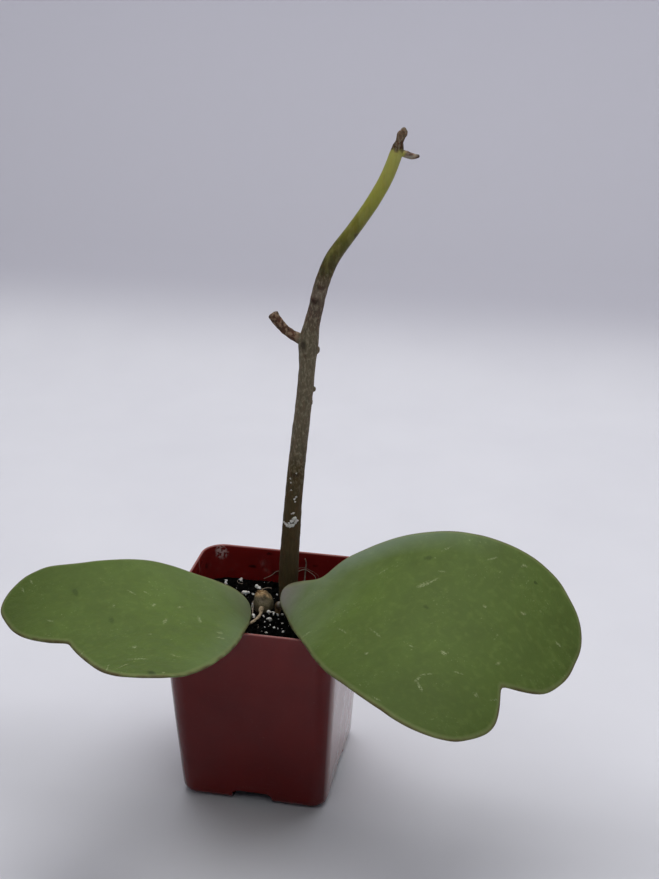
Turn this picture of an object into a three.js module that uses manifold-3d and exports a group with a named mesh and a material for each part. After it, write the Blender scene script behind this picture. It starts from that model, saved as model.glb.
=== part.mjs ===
// A potted sweetheart hoya: one bare, cut-back shoot, a short cut stump and two thick
// heart-shaped leaves, standing in the potting mix of a square tapered nursery pot.
// Millimetres, +Z up. The origin is the middle of the pot's underside, and the pot's
// front side faces -Y.

import * as THREE from 'three';
import { mergeVertices } from 'three/addons/utils/BufferGeometryUtils.js';
import Module from 'manifold-3d';

const wasm = await Module();
wasm.setup();

// Driving dimensions

const CLEAR = 0.3; // gap between pieces that touch

const POT = {
  top: 76, // outside width at the rim
  base: 65.6, // outside width just above the rounded foot
  height: 90,
  wall: 1.0,
  floor: 1.6,
  topCorner: 10, // corner radius at the rim
  baseCorner: 7,
  foot: 4.5, // radius where the walls turn into the floor
  notchWidth: 18.5, // drain notch in the middle of each side
  notchHeight: 6,
  notchDepth: 9,
};

const SOIL = {
  top: 74.8, // mean height of the surface
  relief: 1.5, // height of its crumbs
  fall: 1.2, // how much lower it lies along the walls
  bottom: POT.floor + CLEAR,
  perliteCount: 17,
  perliteSize: [1.0, 1.9], // radius of the smallest and the largest grain
  crumbCount: 12,
};

const STEM = {
  foot: [7.4, 12.6], // where the shoot leaves the soil
  plane: 11.8, // degrees from +X of the upright plane that the shoot grows in
  hole: 4.7, // radius of the hole that it stands in
  buried: 26,
  sides: 12,
};

const STUMP = {
  foot: [-4.0, 9.6],
  radius: 4.6,
  buried: 20,
  low: 78.2, // the slanting cut's lowest and highest edges
  high: 82.0,
};

const PETIOLE = { radius: 1.6, buried: 14 };

// A leaf's blade starts at its base and heads along its midrib, bent over an arch. climb, roll
// and twist are degrees. tilt is how much steeper it lies sideways right at its base, and reach
// is how far along that lasts. left and right are the outline's two sides as [distance along
// the midrib, half width], and notch is [distance along, place across, to the left].
const RIGHT_LEAF = {
  name: 'leaf_right',
  base: [8.1, -10.9, 92.3],
  heading: -27,
  length: 128.5,
  climb: -0.8,
  roll: 19.4,
  twist: -39.6,
  arch: 20.3,
  lean: 0.32,
  cup: 5.4,
  tilt: 0.58,
  reach: 14,
  thick: 3.6,
  petioleFoot: [3.6, 6.6],
  left: [[0, 0], [-1.5, 2.5], [-1, 4], [3.5, 4], [9, 5], [14, 5.5], [18, 6.5], [20.5, 10.5], [23, 15], [26.5, 18.5],
    [33.5, 24], [41, 29], [56, 37.5], [72.5, 45], [89.5, 51], [98.5, 53], [106.5, 53.5], [113, 51.5],
    [117.5, 50], [122, 46], [125.5, 40], [127, 33.5], [128.5, 26], [128.5, 17.5], [127.5, 10], [125, 4.5],
    [121, -0.5]],
  right: [[0, 0], [3, 2.5], [10, 7], [21.5, 16], [35.5, 25.5], [47.5, 33.5], [59, 40], [70, 44.5], [81, 48.5],
    [91, 51], [102, 53], [110.5, 52], [117.5, 48.5], [122.5, 42.5], [125.5, 30], [125, 22], [122, 14.5],
    [118.5, 8.5]],
  notch: [116.5, -5],
};

const LEFT_LEAF = {
  name: 'leaf_left',
  base: [-2.3, -15.9, 88.3],
  heading: -124,
  length: 101.5,
  climb: 12.8,
  roll: -7.7,
  twist: 34.8,
  arch: 10.2,
  lean: -0.72,
  cup: 2.4,
  tilt: -0.82,
  reach: 10.3,
  thick: 3.4,
  petioleFoot: [-6.5, -18],
  left: [[0, 0], [3.5, 3], [16, 15], [30, 27], [41.5, 35.5], [53, 42.5], [64, 48.5], [73, 52], [81, 54],
    [86.5, 53], [92, 50.5], [96.5, 47], [100, 42.5], [101.5, 36.5], [101, 28.5], [97.5, 13], [95.5, 5.5]],
  right: [[0, 0], [-1.5, 2.5], [0.5, 4], [4.5, 6], [9, 9], [14, 14], [23.5, 23], [35, 30.5], [47.5, 37],
    [59, 44], [67.5, 51], [72, 53], [77, 54.5], [82.5, 54], [87.5, 52.5], [92.5, 49], [95.5, 45], [98.5, 36],
    [100.5, 27.5], [100.5, 20], [99, 13], [96.5, 6.5]],
  notch: [93.5, -0.5],
};

// Materials

const material = (color, roughness) => new THREE.MeshStandardMaterial({ color, roughness, metalness: 0 });
const POT_PLASTIC = material(0x4a1c1d, 0.45);
const POTTING_MIX = material(0x17130f, 0.95);
const BARK = material(0x5b5440, 0.8);
const CUT_WOOD = material(0x7a684b, 0.85);
const LEAF_GREEN = material(0x55713a, 0.5);

// General helpers

const radians = THREE.MathUtils.degToRad;
const lerp = THREE.MathUtils.lerp;

// A repeatable random number from 0 to 1.
function seeded(seed) {
  let state = seed;
  return () => {
    state = (state * 1664525 + 1013904223) % 4294967296;
    return state / 4294967296;
  };
}

// A closed solid over a row of rings that all have the same number of points. The first
// and last rings are closed with a fan round their middle. Rings turn anticlockwise when
// they are seen from the last ring.
function loft(rings) {
  const count = rings[0].length;
  const points = rings.flat();
  const middle = (ring) => ring.reduce((sum, p) => sum.add(p), new THREE.Vector3()).divideScalar(count);
  const start = points.push(middle(rings[0])) - 1;
  const end = points.push(middle(rings.at(-1))) - 1;
  const index = [];
  for (let i = 0; i < count; i++) {
    const j = (i + 1) % count;
    for (let k = 0; k + 1 < rings.length; k++) {
      const [a, b, c, d] = [k * count + i, k * count + j, (k + 1) * count + j, (k + 1) * count + i];
      index.push(a, b, c, a, c, d);
    }
    const last = (rings.length - 1) * count;
    index.push(start, j, i, end, last + i, last + j);
  }
  const geometry = new THREE.BufferGeometry();
  geometry.setAttribute('position', new THREE.Float32BufferAttribute(points.flatMap((p) => p.toArray()), 3));
  geometry.setIndex(index);
  return geometry;
}

function toSolid(geometry) {
  const bare = geometry.clone();
  bare.deleteAttribute('normal');
  bare.deleteAttribute('uv');
  const merged = mergeVertices(bare, 1e-5);
  return new wasm.Manifold(new wasm.Mesh({
    numProp: 3,
    vertProperties: new Float32Array(merged.attributes.position.array),
    triVerts: new Uint32Array(merged.index.array),
  }));
}

function toGeometry(solid) {
  const mesh = solid.getMesh();
  const geometry = new THREE.BufferGeometry();
  geometry.setAttribute('position', new THREE.BufferAttribute(new Float32Array(mesh.vertProperties), 3));
  geometry.setIndex(new THREE.BufferAttribute(new Uint32Array(mesh.triVerts), 1));
  return geometry;
}

function combine(base, added, removed = []) {
  let solid = toSolid(base);
  for (const geometry of added) solid = solid.add(toSolid(geometry));
  for (const geometry of removed) solid = solid.subtract(toSolid(geometry));
  return toGeometry(solid);
}

function named(name, geometry, finish) {
  geometry.computeVertexNormals();
  const mesh = new THREE.Mesh(geometry, finish);
  mesh.name = name;
  return mesh;
}

// A rounded stalk: rings square to a smooth line through the given points, with the radius
// running smoothly through the radii.
function stalk(points, radii, steps, sides, wobble = () => 1) {
  const line = new THREE.CatmullRomCurve3(points, false, 'centripetal');
  const widths = new THREE.SplineCurve(radii.map((r, i) => new THREE.Vector2(i, r)));
  const frames = line.computeFrenetFrames(steps, false);
  const rings = [];
  for (let k = 0; k <= steps; k++) {
    const t = k / steps;
    const centre = line.getPoint(t);
    const radius = widths.getPoint(t).y;
    const across = frames.normals[k];
    const along = frames.binormals[k];
    const ring = [];
    for (let i = 0; i < sides; i++) {
      const turn = (i / sides) * 2 * Math.PI;
      const reach = radius * wobble(t, turn);
      ring.push(centre.clone()
        .addScaledVector(across, Math.cos(turn) * reach)
        .addScaledVector(along, Math.sin(turn) * reach));
    }
    rings.push(ring);
  }
  return loft(rings);
}

// A small many-sided lump, for grains, crumbs and buds.
function lump(centre, radius, random, stretch = [1, 1, 1]) {
  const geometry = new THREE.IcosahedronGeometry(radius, 0);
  geometry.deleteAttribute('normal');
  geometry.deleteAttribute('uv');
  const merged = mergeVertices(geometry, 1e-4);
  const place = merged.attributes.position;
  const turn = random() * Math.PI;
  for (let i = 0; i < place.count; i++) {
    const p = new THREE.Vector3().fromBufferAttribute(place, i);
    p.multiplyScalar(lerp(0.82, 1.18, random()));
    p.multiply(new THREE.Vector3(...stretch)).applyAxisAngle(new THREE.Vector3(0, 0, 1), turn);
    place.setXYZ(i, p.x + centre.x, p.y + centre.y, p.z + centre.z);
  }
  return merged;
}

// Pot

// The square section at one height, with round corners and straight sides in short steps.
function roundedSquare(width, corner, z, cornerSteps, sideSteps) {
  const half = width / 2;
  const ring = [];
  for (let quarter = 0; quarter < 4; quarter++) {
    const turn = (quarter * Math.PI) / 2;
    const spin = (x, y) => new THREE.Vector3(
      x * Math.cos(turn) - y * Math.sin(turn),
      x * Math.sin(turn) + y * Math.cos(turn),
      z,
    );
    for (let i = 0; i < cornerSteps; i++) {
      const angle = (i / cornerSteps) * (Math.PI / 2);
      ring.push(spin(half - corner + corner * Math.cos(angle), half - corner + corner * Math.sin(angle)));
    }
    for (let i = 0; i < sideSteps; i++) {
      const step = (i / sideSteps) * (width - 2 * corner);
      ring.push(spin(half - corner - step, half));
    }
  }
  return ring;
}

const potWidth = (z) => lerp(POT.base, POT.top, z / POT.height);
const potCorner = (z) => lerp(POT.baseCorner, POT.topCorner, z / POT.height);

// The pot's section at height z, drawn in by a distance from its outer wall.
function potRing(z, inset, cornerSteps = 6, sideSteps = 1) {
  return roundedSquare(potWidth(z) - 2 * inset, potCorner(z) - inset, z, cornerSteps, sideSteps);
}

function buildPot() {
  const rings = [];
  const footSteps = 4;
  for (let k = 0; k <= footSteps; k++) {
    const angle = (k / footSteps) * (Math.PI / 2);
    rings.push(potRing(POT.foot * (1 - Math.cos(angle)), POT.foot * (1 - Math.sin(angle))));
  }
  const lip = POT.wall / 4;
  rings.push(potRing(POT.height * 0.5, 0));
  rings.push(potRing(POT.height - lip, 0));
  rings.push(potRing(POT.height, lip));
  rings.push(potRing(POT.height, POT.wall - lip));
  rings.push(potRing(POT.height - lip, POT.wall));
  rings.push(potRing(POT.height * 0.5, POT.wall));
  rings.push(potRing(POT.floor + POT.foot - POT.wall, POT.wall));
  rings.push(potRing(POT.floor, POT.foot));

  const notch = new THREE.Shape();
  const half = POT.notchWidth / 2;
  const round = POT.notchHeight * 0.6;
  notch.moveTo(-half, -1);
  notch.lineTo(half, -1);
  notch.lineTo(half, POT.notchHeight - round);
  notch.absarc(half - round, POT.notchHeight - round, round, 0, Math.PI / 2, false);
  notch.absarc(-half + round, POT.notchHeight - round, round, Math.PI / 2, Math.PI, false);
  notch.closePath();
  const cuts = [];
  for (let side = 0; side < 4; side++) {
    const cut = new THREE.ExtrudeGeometry(notch, { depth: POT.notchDepth, bevelEnabled: false, curveSegments: 4 });
    cut.rotateX(Math.PI / 2);
    cut.translate(0, -POT.base / 2 + POT.notchDepth - 1, 0);
    cut.rotateZ((side * Math.PI) / 2);
    cuts.push(cut);
  }
  return named('pot', combine(loft(rings), [], cuts), POT_PLASTIC);
}

// Potting mix

// Smooth random relief from -1 to 1, the same at every run.
function reliefAt(x, y) {
  const knot = (i, j) => {
    const s = Math.sin(i * 127.1 + j * 311.7) * 43758.5453;
    return (s - Math.floor(s)) * 2 - 1;
  };
  const layer = (size) => {
    const [u, v] = [x / size + 40, y / size + 40];
    const [i, j] = [Math.floor(u), Math.floor(v)];
    const [a, b] = [THREE.MathUtils.smoothstep(u - i, 0, 1), THREE.MathUtils.smoothstep(v - j, 0, 1)];
    return lerp(lerp(knot(i, j), knot(i + 1, j), a), lerp(knot(i, j + 1), knot(i + 1, j + 1), a), b);
  };
  return 0.6 * layer(9) + 0.4 * layer(4.5);
}

function soilHeight(x, y) {
  const toWall = Math.max(Math.abs(x), Math.abs(y)) / (potWidth(SOIL.top) / 2);
  return SOIL.top + SOIL.relief * 0.5 * reliefAt(x, y) - SOIL.fall * toWall ** 4;
}

function hole(x, y, radius, depth) {
  const tall = depth + 20;
  const drill = new THREE.CylinderGeometry(radius, radius, tall, 20);
  drill.rotateX(Math.PI / 2);
  drill.translate(x, y, SOIL.top - depth + tall / 2);
  return drill;
}

function buildSoil() {
  const inset = POT.wall + CLEAR;
  const sideSteps = 7;
  const section = (z, more = 0) => potRing(z, inset + more, 4, sideSteps);
  const rings = [section(SOIL.bottom, POT.foot - POT.wall), section(SOIL.bottom + POT.foot - POT.wall)];
  rings.push(section(POT.height * 0.5));
  const edge = section(SOIL.top);
  const shrinks = [1, 0.93, 0.84, 0.75, 0.66, 0.57, 0.48, 0.39, 0.3, 0.2, 0.1];
  for (const shrink of shrinks) {
    rings.push(edge.map((p) => {
      const [x, y] = [p.x * shrink, p.y * shrink];
      return new THREE.Vector3(x, y, soilHeight(x, y));
    }));
  }
  const random = seeded(11);
  const grains = [];
  const reach = potWidth(SOIL.top) / 2 - inset - 3;
  const keepOff = [[...STEM.foot, 6], [...STUMP.foot, 6.5], [...RIGHT_LEAF.petioleFoot, 4], [...LEFT_LEAF.petioleFoot, 4]];
  const total = SOIL.perliteCount + SOIL.crumbCount;
  while (grains.length < total) {
    const [x, y] = [lerp(-reach, reach, random()), lerp(-reach, reach, random())];
    const radius = lerp(...SOIL.perliteSize, random() ** 2);
    const clear = keepOff.every(([cx, cy, r]) => Math.hypot(x - cx, y - cy) > r + radius);
    if (clear) {
      const z = soilHeight(x, y) + radius * 0.2;
      grains.push(lump(new THREE.Vector3(x, y, z), radius, random, [1.15, 1, 0.85]));
    }
  }
  const holes = [
    hole(...STEM.foot, STEM.hole, STEM.buried + CLEAR),
    hole(...STUMP.foot, STUMP.radius + CLEAR, STUMP.buried + CLEAR),
    hole(...RIGHT_LEAF.petioleFoot, PETIOLE.radius + CLEAR, PETIOLE.buried + CLEAR),
    hole(...LEFT_LEAF.petioleFoot, PETIOLE.radius + CLEAR, PETIOLE.buried + CLEAR),
  ];
  return named('soil', combine(loft(rings), grains, holes), POTTING_MIX);
}

// Bare shoot

// A place in the shoot's own plane: how far to the right of its foot, and how high.
function inPlane(across, z, out = 0) {
  const turn = radians(STEM.plane);
  return new THREE.Vector3(
    STEM.foot[0] + across * Math.cos(turn) + out * Math.sin(turn),
    STEM.foot[1] + across * Math.sin(turn) - out * Math.cos(turn),
    z,
  );
}

function buildShoot() {
  // Each row is how far right, how high and how thick.
  const course = [
    [0, SOIL.top - STEM.buried, 8.4], [0, SOIL.top - 12, 8.5], [0, 77.5, 8.6], [-0.5, 85, 8.8], [-0.2, 94, 8.7],
    [0.4, 104.4, 8.4], [1.4, 117, 8.1], [2.1, 128, 7.7], [3.3, 141, 7.5], [4.8, 155.6, 7.2], [6.5, 170, 7.0],
    [8.0, 184, 6.9], [8.7, 193, 7.2], [9.1, 201.5, 8.5], [10.4, 208.5, 6.7], [12.0, 215.2, 6.2], [13.4, 221.7, 6.1],
    [15.6, 229.3, 6.1], [18.5, 236.5, 6.2], [21.8, 241.8, 6.0], [26.7, 248.4, 5.7], [31.5, 255.2, 5.6],
    [35.8, 261.8, 5.6], [39.9, 269.2, 5.5], [42.4, 275.2, 5.4], [44.4, 281.0, 5.2], [45.0, 283.6, 4.2],
    [45.4, 285.2, 3.0], [45.9, 286.6, 3.4], [46.3, 288.1, 3.7], [46.6, 289.3, 2.4],
  ];
  const points = course.map(([across, z]) => inPlane(across, z));
  const radii = course.map((row) => row[2] / 2);
  const steps = 52;
  const knotty = (t, turn) => 1 + 0.02 * Math.sin(3 * turn + 9 * t) + 0.015 * Math.sin(5 * turn - 31 * t);
  const shoot = stalk(points, radii, steps, STEM.sides, knotty);

  // The cut side branch on the swollen joint
  const branch = [[9.2, 201.6], [6.4, 202.7], [3.4, 204.1], [-0.4, 206.8], [-3.4, 210.4], [-5.7, 214]];
  const branchRadii = [2.6, 2.5, 2.2, 2.05, 2.15, 2.4];
  const sideBranch = stalk(branch.map(([a, z]) => inPlane(a, z)), branchRadii, 10, 10);

  // The pointed bract below the tip
  const bract = [[44.8, 280.8], [47.2, 280.4], [50.4, 279.3], [53.5, 279.4]];
  const spur = stalk(bract.map(([a, z]) => inPlane(a, z)), [1.1, 1.5, 1.4, 0.6], 6, 8);

  const random = seeded(5);
  const bud = (a, z, r, out = 0) => lump(inPlane(a, z, out), r, random, [1, 1, 1.3]);
  const buds = [bud(12.6, 198, 1.5), bud(11.1, 180.4, 1.1), bud(9.8, 174.6, 1.1, 0.6), bud(47.2, 288.5, 1.5)];
  return named('main_stem', combine(shoot, [sideBranch, spur, ...buds]), BARK);
}

// Cut stump

function buildStump() {
  const [x, y] = STUMP.foot;
  const sides = 18;
  const ring = (z, radius, slant = 0, ragged = 0) => {
    const points = [];
    for (let i = 0; i < sides; i++) {
      const turn = (i / sides) * 2 * Math.PI;
      const lift = slant * 0.5 * (1 - Math.cos(turn + 1.0)) + ragged * (i % 2);
      const reach = radius * (1 + 0.04 * Math.sin(3 * turn));
      points.push(new THREE.Vector3(x + reach * Math.cos(turn), y + reach * Math.sin(turn), z + lift));
    }
    return points;
  };
  const slant = STUMP.high - STUMP.low;
  const stump = loft([
    ring(SOIL.top - STUMP.buried, STUMP.radius * 0.92),
    ring(SOIL.top - 4, STUMP.radius * 0.95),
    ring(SOIL.top + 2, STUMP.radius * 0.98),
    ring(STUMP.low - 1.4, STUMP.radius * 0.96, slant * 0.5),
    ring(STUMP.low - 0.4, STUMP.radius * 0.88, slant * 0.9),
    ring(STUMP.low, STUMP.radius * 0.74, slant, 0.6),
    ring(STUMP.low - 0.4, STUMP.radius * 0.4, slant * 0.9, 0.4),
  ]);

  // The pale root that leaves the stump's side and runs over the mix, under the left leaf
  const level = (dx, dy, up) => new THREE.Vector3(x + dx, y + dy, SOIL.top + up);
  const path = [level(0.2, -3.2, 3.4), level(0.2, -5.2, 2.7), level(0.4, -8.0, 2.3), level(0, -11.6, 2.3),
    level(-0.9, -15.2, 2.4), level(-2.4, -18.6, 2.6)];
  const root = stalk(path, [1.1, 1.0, 0.75, 0.8, 0.7, 0.5], 14, 7);
  return named('cut_stump', combine(stump, [root]), CUT_WOOD);
}

// Leaves

// How high the blade's middle layer lies above its base, at a place on its plan.
function bladeHeight(leaf, along, across) {
  const t = THREE.MathUtils.clamp(along / leaf.length, -0.02, 1.02);
  const climb = Math.tan(radians(leaf.climb)) * along;
  const arch = leaf.arch * 4 * t * (1 - t) * (1 + leaf.lean * (t - 0.5));
  const roll = (Math.tan(radians(leaf.roll)) + radians(leaf.twist) * (t - 0.5)) * across;
  const tilt = leaf.tilt * across * Math.exp(-((along / leaf.reach) ** 2));
  return climb + arch + roll + tilt + leaf.cup * (across / 60) ** 2;
}

function bladePoint(leaf, along, across, up) {
  const turn = radians(leaf.heading);
  return new THREE.Vector3(
    leaf.base[0] + along * Math.cos(turn) - across * Math.sin(turn),
    leaf.base[1] + along * Math.sin(turn) + across * Math.cos(turn),
    leaf.base[2] + bladeHeight(leaf, along, across) + up,
  );
}

// The blade's margin, once round from the base: out along the right side, into the notch
// and back along the left.
function margin(leaf, halfCount) {
  const side = (rows, sign) => {
    const points = rows.map(([a, w]) => new THREE.Vector2(a, sign * w));
    return new THREE.SplineCurve([...points, new THREE.Vector2(...leaf.notch)]).getSpacedPoints(halfCount);
  };
  const right = side(leaf.right, -1);
  const left = side(leaf.left, 1).reverse();
  return [...right.slice(0, -1), ...left.slice(0, -1)];
}

function buildLeaf(leaf) {
  const outline = margin(leaf, 36);
  const core = new THREE.Vector2(leaf.length * 0.6, 0);
  const half = leaf.thick / 2;
  // Each pair is how much of the outline's size a ring has, and how much of the thickness.
  const profile = [[1, 0], [0.993, 0.3], [0.978, 0.5], [0.95, 0.66], [0.86, 0.82], [0.7, 0.94], [0.5, 1], [0.3, 1], [0.12, 1]];
  const layer = (sign) => profile.map(([size, share]) => outline.map((p) => {
    const [a, w] = [lerp(core.x, p.x, size), lerp(core.y, p.y, size)];
    return bladePoint(leaf, a, w, sign * share * half);
  }));
  const upper = layer(1).slice(1);
  const lower = layer(-1).reverse();
  const blade = loft([...lower, ...upper]);

  const upright = (z) => new THREE.Vector3(...leaf.petioleFoot, z);
  const path = [upright(SOIL.top - PETIOLE.buried), upright(SOIL.top - 4), upright(SOIL.top + 1), upright(SOIL.top + 4),
    bladePoint(leaf, 3, 0, -1.6), bladePoint(leaf, 8, 0, -0.6), bladePoint(leaf, 14, 0, -0.4)];
  const radius = PETIOLE.radius;
  const petiole = stalk(path, [radius, radius, radius, radius, radius, radius * 0.9, radius * 0.5], 22, 10);
  return named(leaf.name, combine(blade, [petiole]), LEAF_GREEN);
}

const plant = new THREE.Group();
plant.add(buildPot(), buildSoil(), buildShoot(), buildStump(), buildLeaf(LEFT_LEAF), buildLeaf(RIGHT_LEAF));

export default plant;
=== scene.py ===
"""Builds a potted sweetheart hoya: a bare cut-back shoot, a short cut stump and two thick
heart-shaped leaves, growing in potting mix in a square tapered nursery pot."""

import math
import random

import bmesh
import bpy
from bpy.props import FloatProperty, FloatVectorProperty, IntProperty, PointerProperty
from mathutils import Euler, Matrix, Vector, kdtree, noise


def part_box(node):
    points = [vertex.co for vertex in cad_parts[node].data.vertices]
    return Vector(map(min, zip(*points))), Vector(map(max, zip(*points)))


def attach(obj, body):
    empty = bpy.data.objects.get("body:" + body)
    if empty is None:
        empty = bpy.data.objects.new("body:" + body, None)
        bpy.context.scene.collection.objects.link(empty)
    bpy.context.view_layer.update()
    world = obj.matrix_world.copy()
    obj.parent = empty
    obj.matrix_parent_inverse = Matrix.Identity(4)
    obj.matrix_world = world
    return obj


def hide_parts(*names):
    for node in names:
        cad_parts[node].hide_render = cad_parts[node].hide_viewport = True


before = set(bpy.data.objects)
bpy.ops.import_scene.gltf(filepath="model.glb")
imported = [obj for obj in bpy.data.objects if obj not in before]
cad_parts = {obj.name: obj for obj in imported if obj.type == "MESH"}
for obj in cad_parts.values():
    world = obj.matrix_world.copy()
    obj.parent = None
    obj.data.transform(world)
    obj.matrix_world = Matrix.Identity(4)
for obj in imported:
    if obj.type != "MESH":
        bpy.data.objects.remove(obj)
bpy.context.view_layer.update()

bl_info = {
    "name": "Potted Hoya",
    "version": (1, 0, 0),
    "blender": (4, 5, 0),
    "location": "3D View > Sidebar > Potted Hoya",
    "description": "Builds a potted hoya cutting with heart-shaped leaves, and its stage",
    "category": "Object",
}

MM = 0.001

# The shoot grows in one upright plane. Each row is how far right of its foot, how high and
# how thick it is there, in millimetres.
SHOOT_COURSE = [
    (0, 50, 8.4), (0, 64, 8.5), (0, 77.5, 8.6), (-0.5, 85, 8.8), (-0.2, 94, 8.7), (0.4, 104.4, 8.4),
    (1.4, 117, 8.1), (2.1, 128, 7.7), (3.3, 141, 7.5), (4.8, 155.6, 7.2), (6.5, 170, 7.0),
    (8.0, 184, 6.9), (8.7, 193, 7.2), (9.1, 201.5, 8.5), (10.4, 208.5, 6.7), (12.0, 215.2, 6.2),
    (13.4, 221.7, 6.1), (15.6, 229.3, 6.1), (18.5, 236.5, 6.2), (21.8, 241.8, 6.0), (26.7, 248.4, 5.7),
    (31.5, 255.2, 5.6), (35.8, 261.8, 5.6), (39.9, 269.2, 5.5), (42.4, 275.2, 5.4), (44.4, 281.0, 5.2),
    (45.0, 283.6, 4.2), (45.4, 285.2, 3.0), (45.9, 286.6, 3.4), (46.3, 288.1, 3.7), (46.6, 289.3, 2.4),
]
# The skin is smooth and green between these heights, in millimetres.
GREEN_FROM = 230
GREEN_TO = 281
BRANCH_COURSE = [
    (9.2, 201.6, 5.2), (6.4, 202.7, 5.0), (3.4, 204.1, 4.4), (-0.4, 206.8, 4.1), (-3.4, 210.4, 4.3),
    (-5.7, 214, 4.8),
]
BRACT_COURSE = [(44.8, 280.8, 2.2), (47.2, 280.4, 3.0), (50.4, 279.3, 2.8), (53.5, 279.4, 1.2)]
# Each bud is how far right, how high, how thick and how far towards the front.
BUDS = [(12.6, 198, 2.6, 0), (11.1, 180.4, 1.9, 0), (9.8, 174.6, 2.0, 0.6), (46.9, 288.5, 3.1, 0)]
# Dried latex on the shoot: how far right, how high and how wide each granule is.
GRANULES = [
    (-1.9, 118.8, 0.8), (-1.3, 118.3, 1.1), (-0.4, 117.8, 1.5), (0.8, 117.7, 1.6), (1.9, 118.3, 1.6),
    (0.2, 118.9, 1.1), (1.5, 120.2, 1.7), (2.6, 121.3, 1.9), (3.5, 120.2, 1.5), (2.9, 119.3, 1.2),
    (2.2, 124.0, 1.0), (1.5, 123.7, 0.7), (2.7, 130.8, 1.0), (3.4, 131.6, 0.9), (3.0, 129.4, 0.7),
    (1.4, 134.9, 0.6), (1.3, 138.4, 0.7), (1.1, 140.2, 0.8), (3.7, 143.0, 0.7),
]

# A leaf's two sides as (distance along the midrib, half width), and its notch, in millimetres.
RIGHT_LEAF_LEFT = [
    (0, 0), (-1.5, 2.5), (-1, 4), (3.5, 4), (9, 5), (14, 5.5), (18, 6.5), (20.5, 10.5), (23, 15),
    (26.5, 18.5), (33.5, 24), (41, 29), (56, 37.5), (72.5, 45), (89.5, 51), (98.5, 53), (106.5, 53.5),
    (113, 51.5), (117.5, 50), (122, 46), (125.5, 40), (127, 33.5), (128.5, 26), (128.5, 17.5), (127.5, 10),
    (125, 4.5), (121, -0.5),
]
RIGHT_LEAF_RIGHT = [
    (0, 0), (3, 2.5), (10, 7), (21.5, 16), (35.5, 25.5), (47.5, 33.5), (59, 40), (70, 44.5), (81, 48.5),
    (91, 51), (102, 53), (110.5, 52), (117.5, 48.5), (122.5, 42.5), (125.5, 30), (125, 22), (122, 14.5),
    (118.5, 8.5),
]
RIGHT_LEAF_NOTCH = (116.5, -5)
LEFT_LEAF_LEFT = [
    (0, 0), (3.5, 3), (16, 15), (30, 27), (41.5, 35.5), (53, 42.5), (64, 48.5), (73, 52), (81, 54),
    (86.5, 53), (92, 50.5), (96.5, 47), (100, 42.5), (101.5, 36.5), (101, 28.5), (97.5, 13), (95.5, 5.5),
]
LEFT_LEAF_RIGHT = [
    (0, 0), (-1.5, 2.5), (0.5, 4), (4.5, 6), (9, 9), (14, 14), (23.5, 23), (35, 30.5), (47.5, 37),
    (59, 44), (67.5, 51), (72, 53), (77, 54.5), (82.5, 54), (87.5, 52.5), (92.5, 49), (95.5, 45), (98.5, 36),
    (100.5, 27.5), (100.5, 20), (99, 13), (96.5, 6.5),
]
LEFT_LEAF_NOTCH = (93.5, -0.5)
# Pale scars in a leaf's skin: place along and across, half length, half width, turn in degrees
# and strength.
RIGHT_LEAF_SCARS = [
    ((69, 14), (4, 0.5), 65, 0.6), ((67, 12), (2.5, 0.8), 65, 0.6), ((96, -26), (2.4, 0.4), 55, 0.6),
    ((95, -30), (2.4, 0.5), -85, 0.6), ((98, -33), (2.6, 0.5), -35, 0.6), ((94, -12), (1.3, 0.8), 20, 0.8),
    ((69, -28), (0.8, 0.6), 0, 0.7), ((33, -21), (2, 0.5), 40, 0.6), ((65, -17), (4, 0.35), -20, 0.4),
    ((50, -19), (3.5, 0.35), -20, 0.4), ((82, -17), (1.6, 0.35), 10, 0.5), ((83, 38), (2, 0.5), 55, 0.5),
    ((105, 28), (1, 0.6), 30, 0.6), ((111, 1), (1.2, 0.5), 80, 0.6), ((120, 31), (1.3, 0.5), 20, 0.6),
    ((93, 18), (0.9, 0.6), 0, 0.6), ((104, -16), (1.8, 0.4), 30, 0.5), ((114, -19), (1.2, 0.9), 0, 0.4),
    ((89, -48), (2.2, 0.35), -10, 0.5), ((47, 12), (2, 0.4), 60, 0.4), ((70, 21), (1.6, 0.5), 15, 0.4),
    ((94, 45), (1.2, 0.5), 50, 0.6), ((65, 31), (2.2, 0.4), 60, 0.4), ((119, -14), (2, 0.3), 70, 0.4),
]
LEFT_LEAF_SCARS = [
    ((52, 0), (1.2, 0.7), 20, 0.8), ((54, -12), (2, 0.5), -80, 0.5), ((49, -9), (1.6, 0.4), -80, 0.5),
    ((66, -8), (1.2, 0.5), 40, 0.5), ((56, 12), (2.4, 0.8), 40, 0.6), ((41, 15), (2.6, 0.7), 60, 0.6),
    ((39, 25), (1.4, 0.9), 20, 0.8), ((42, 29), (2, 0.6), -10, 0.6), ((72, 38), (2, 0.5), -80, 0.6),
    ((99, 33), (3, 0.35), 45, 0.6), ((94, 36), (3, 0.35), 10, 0.6), ((86, 34), (3.4, 0.5), -35, 0.6),
    ((80, 24), (1.3, 0.8), 0, 0.7), ((97, 13), (0.9, 0.6), 0, 0.8), ((83, -47), (1.6, 0.5), 70, 0.5),
    ((78, -48), (1.8, 0.4), 70, 0.5), ((89, -19), (2.2, 0.4), -80, 0.4), ((43, 5), (1.6, 0.6), 10, 0.5),
    ((68, 18), (0.8, 0.5), 0, 0.6), ((87, 50), (0.9, 0.6), 0, 0.8),
]
# Darker bruises, in the same form.
RIGHT_LEAF_BRUISES = [
    ((61, 24), (1.8, 1.1), 30, 0.5), ((75, 3), (1.5, 0.9), 0, 0.5), ((101, 43), (0.8, 0.6), 0, 0.7),
]
LEFT_LEAF_BRUISES = [
    ((71, -27), (2.6, 1.2), 70, 0.5), ((73, 0), (3, 1), 60, 0.4), ((91, 49), (3.2, 1.4), 70, 0.8),
]

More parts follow.
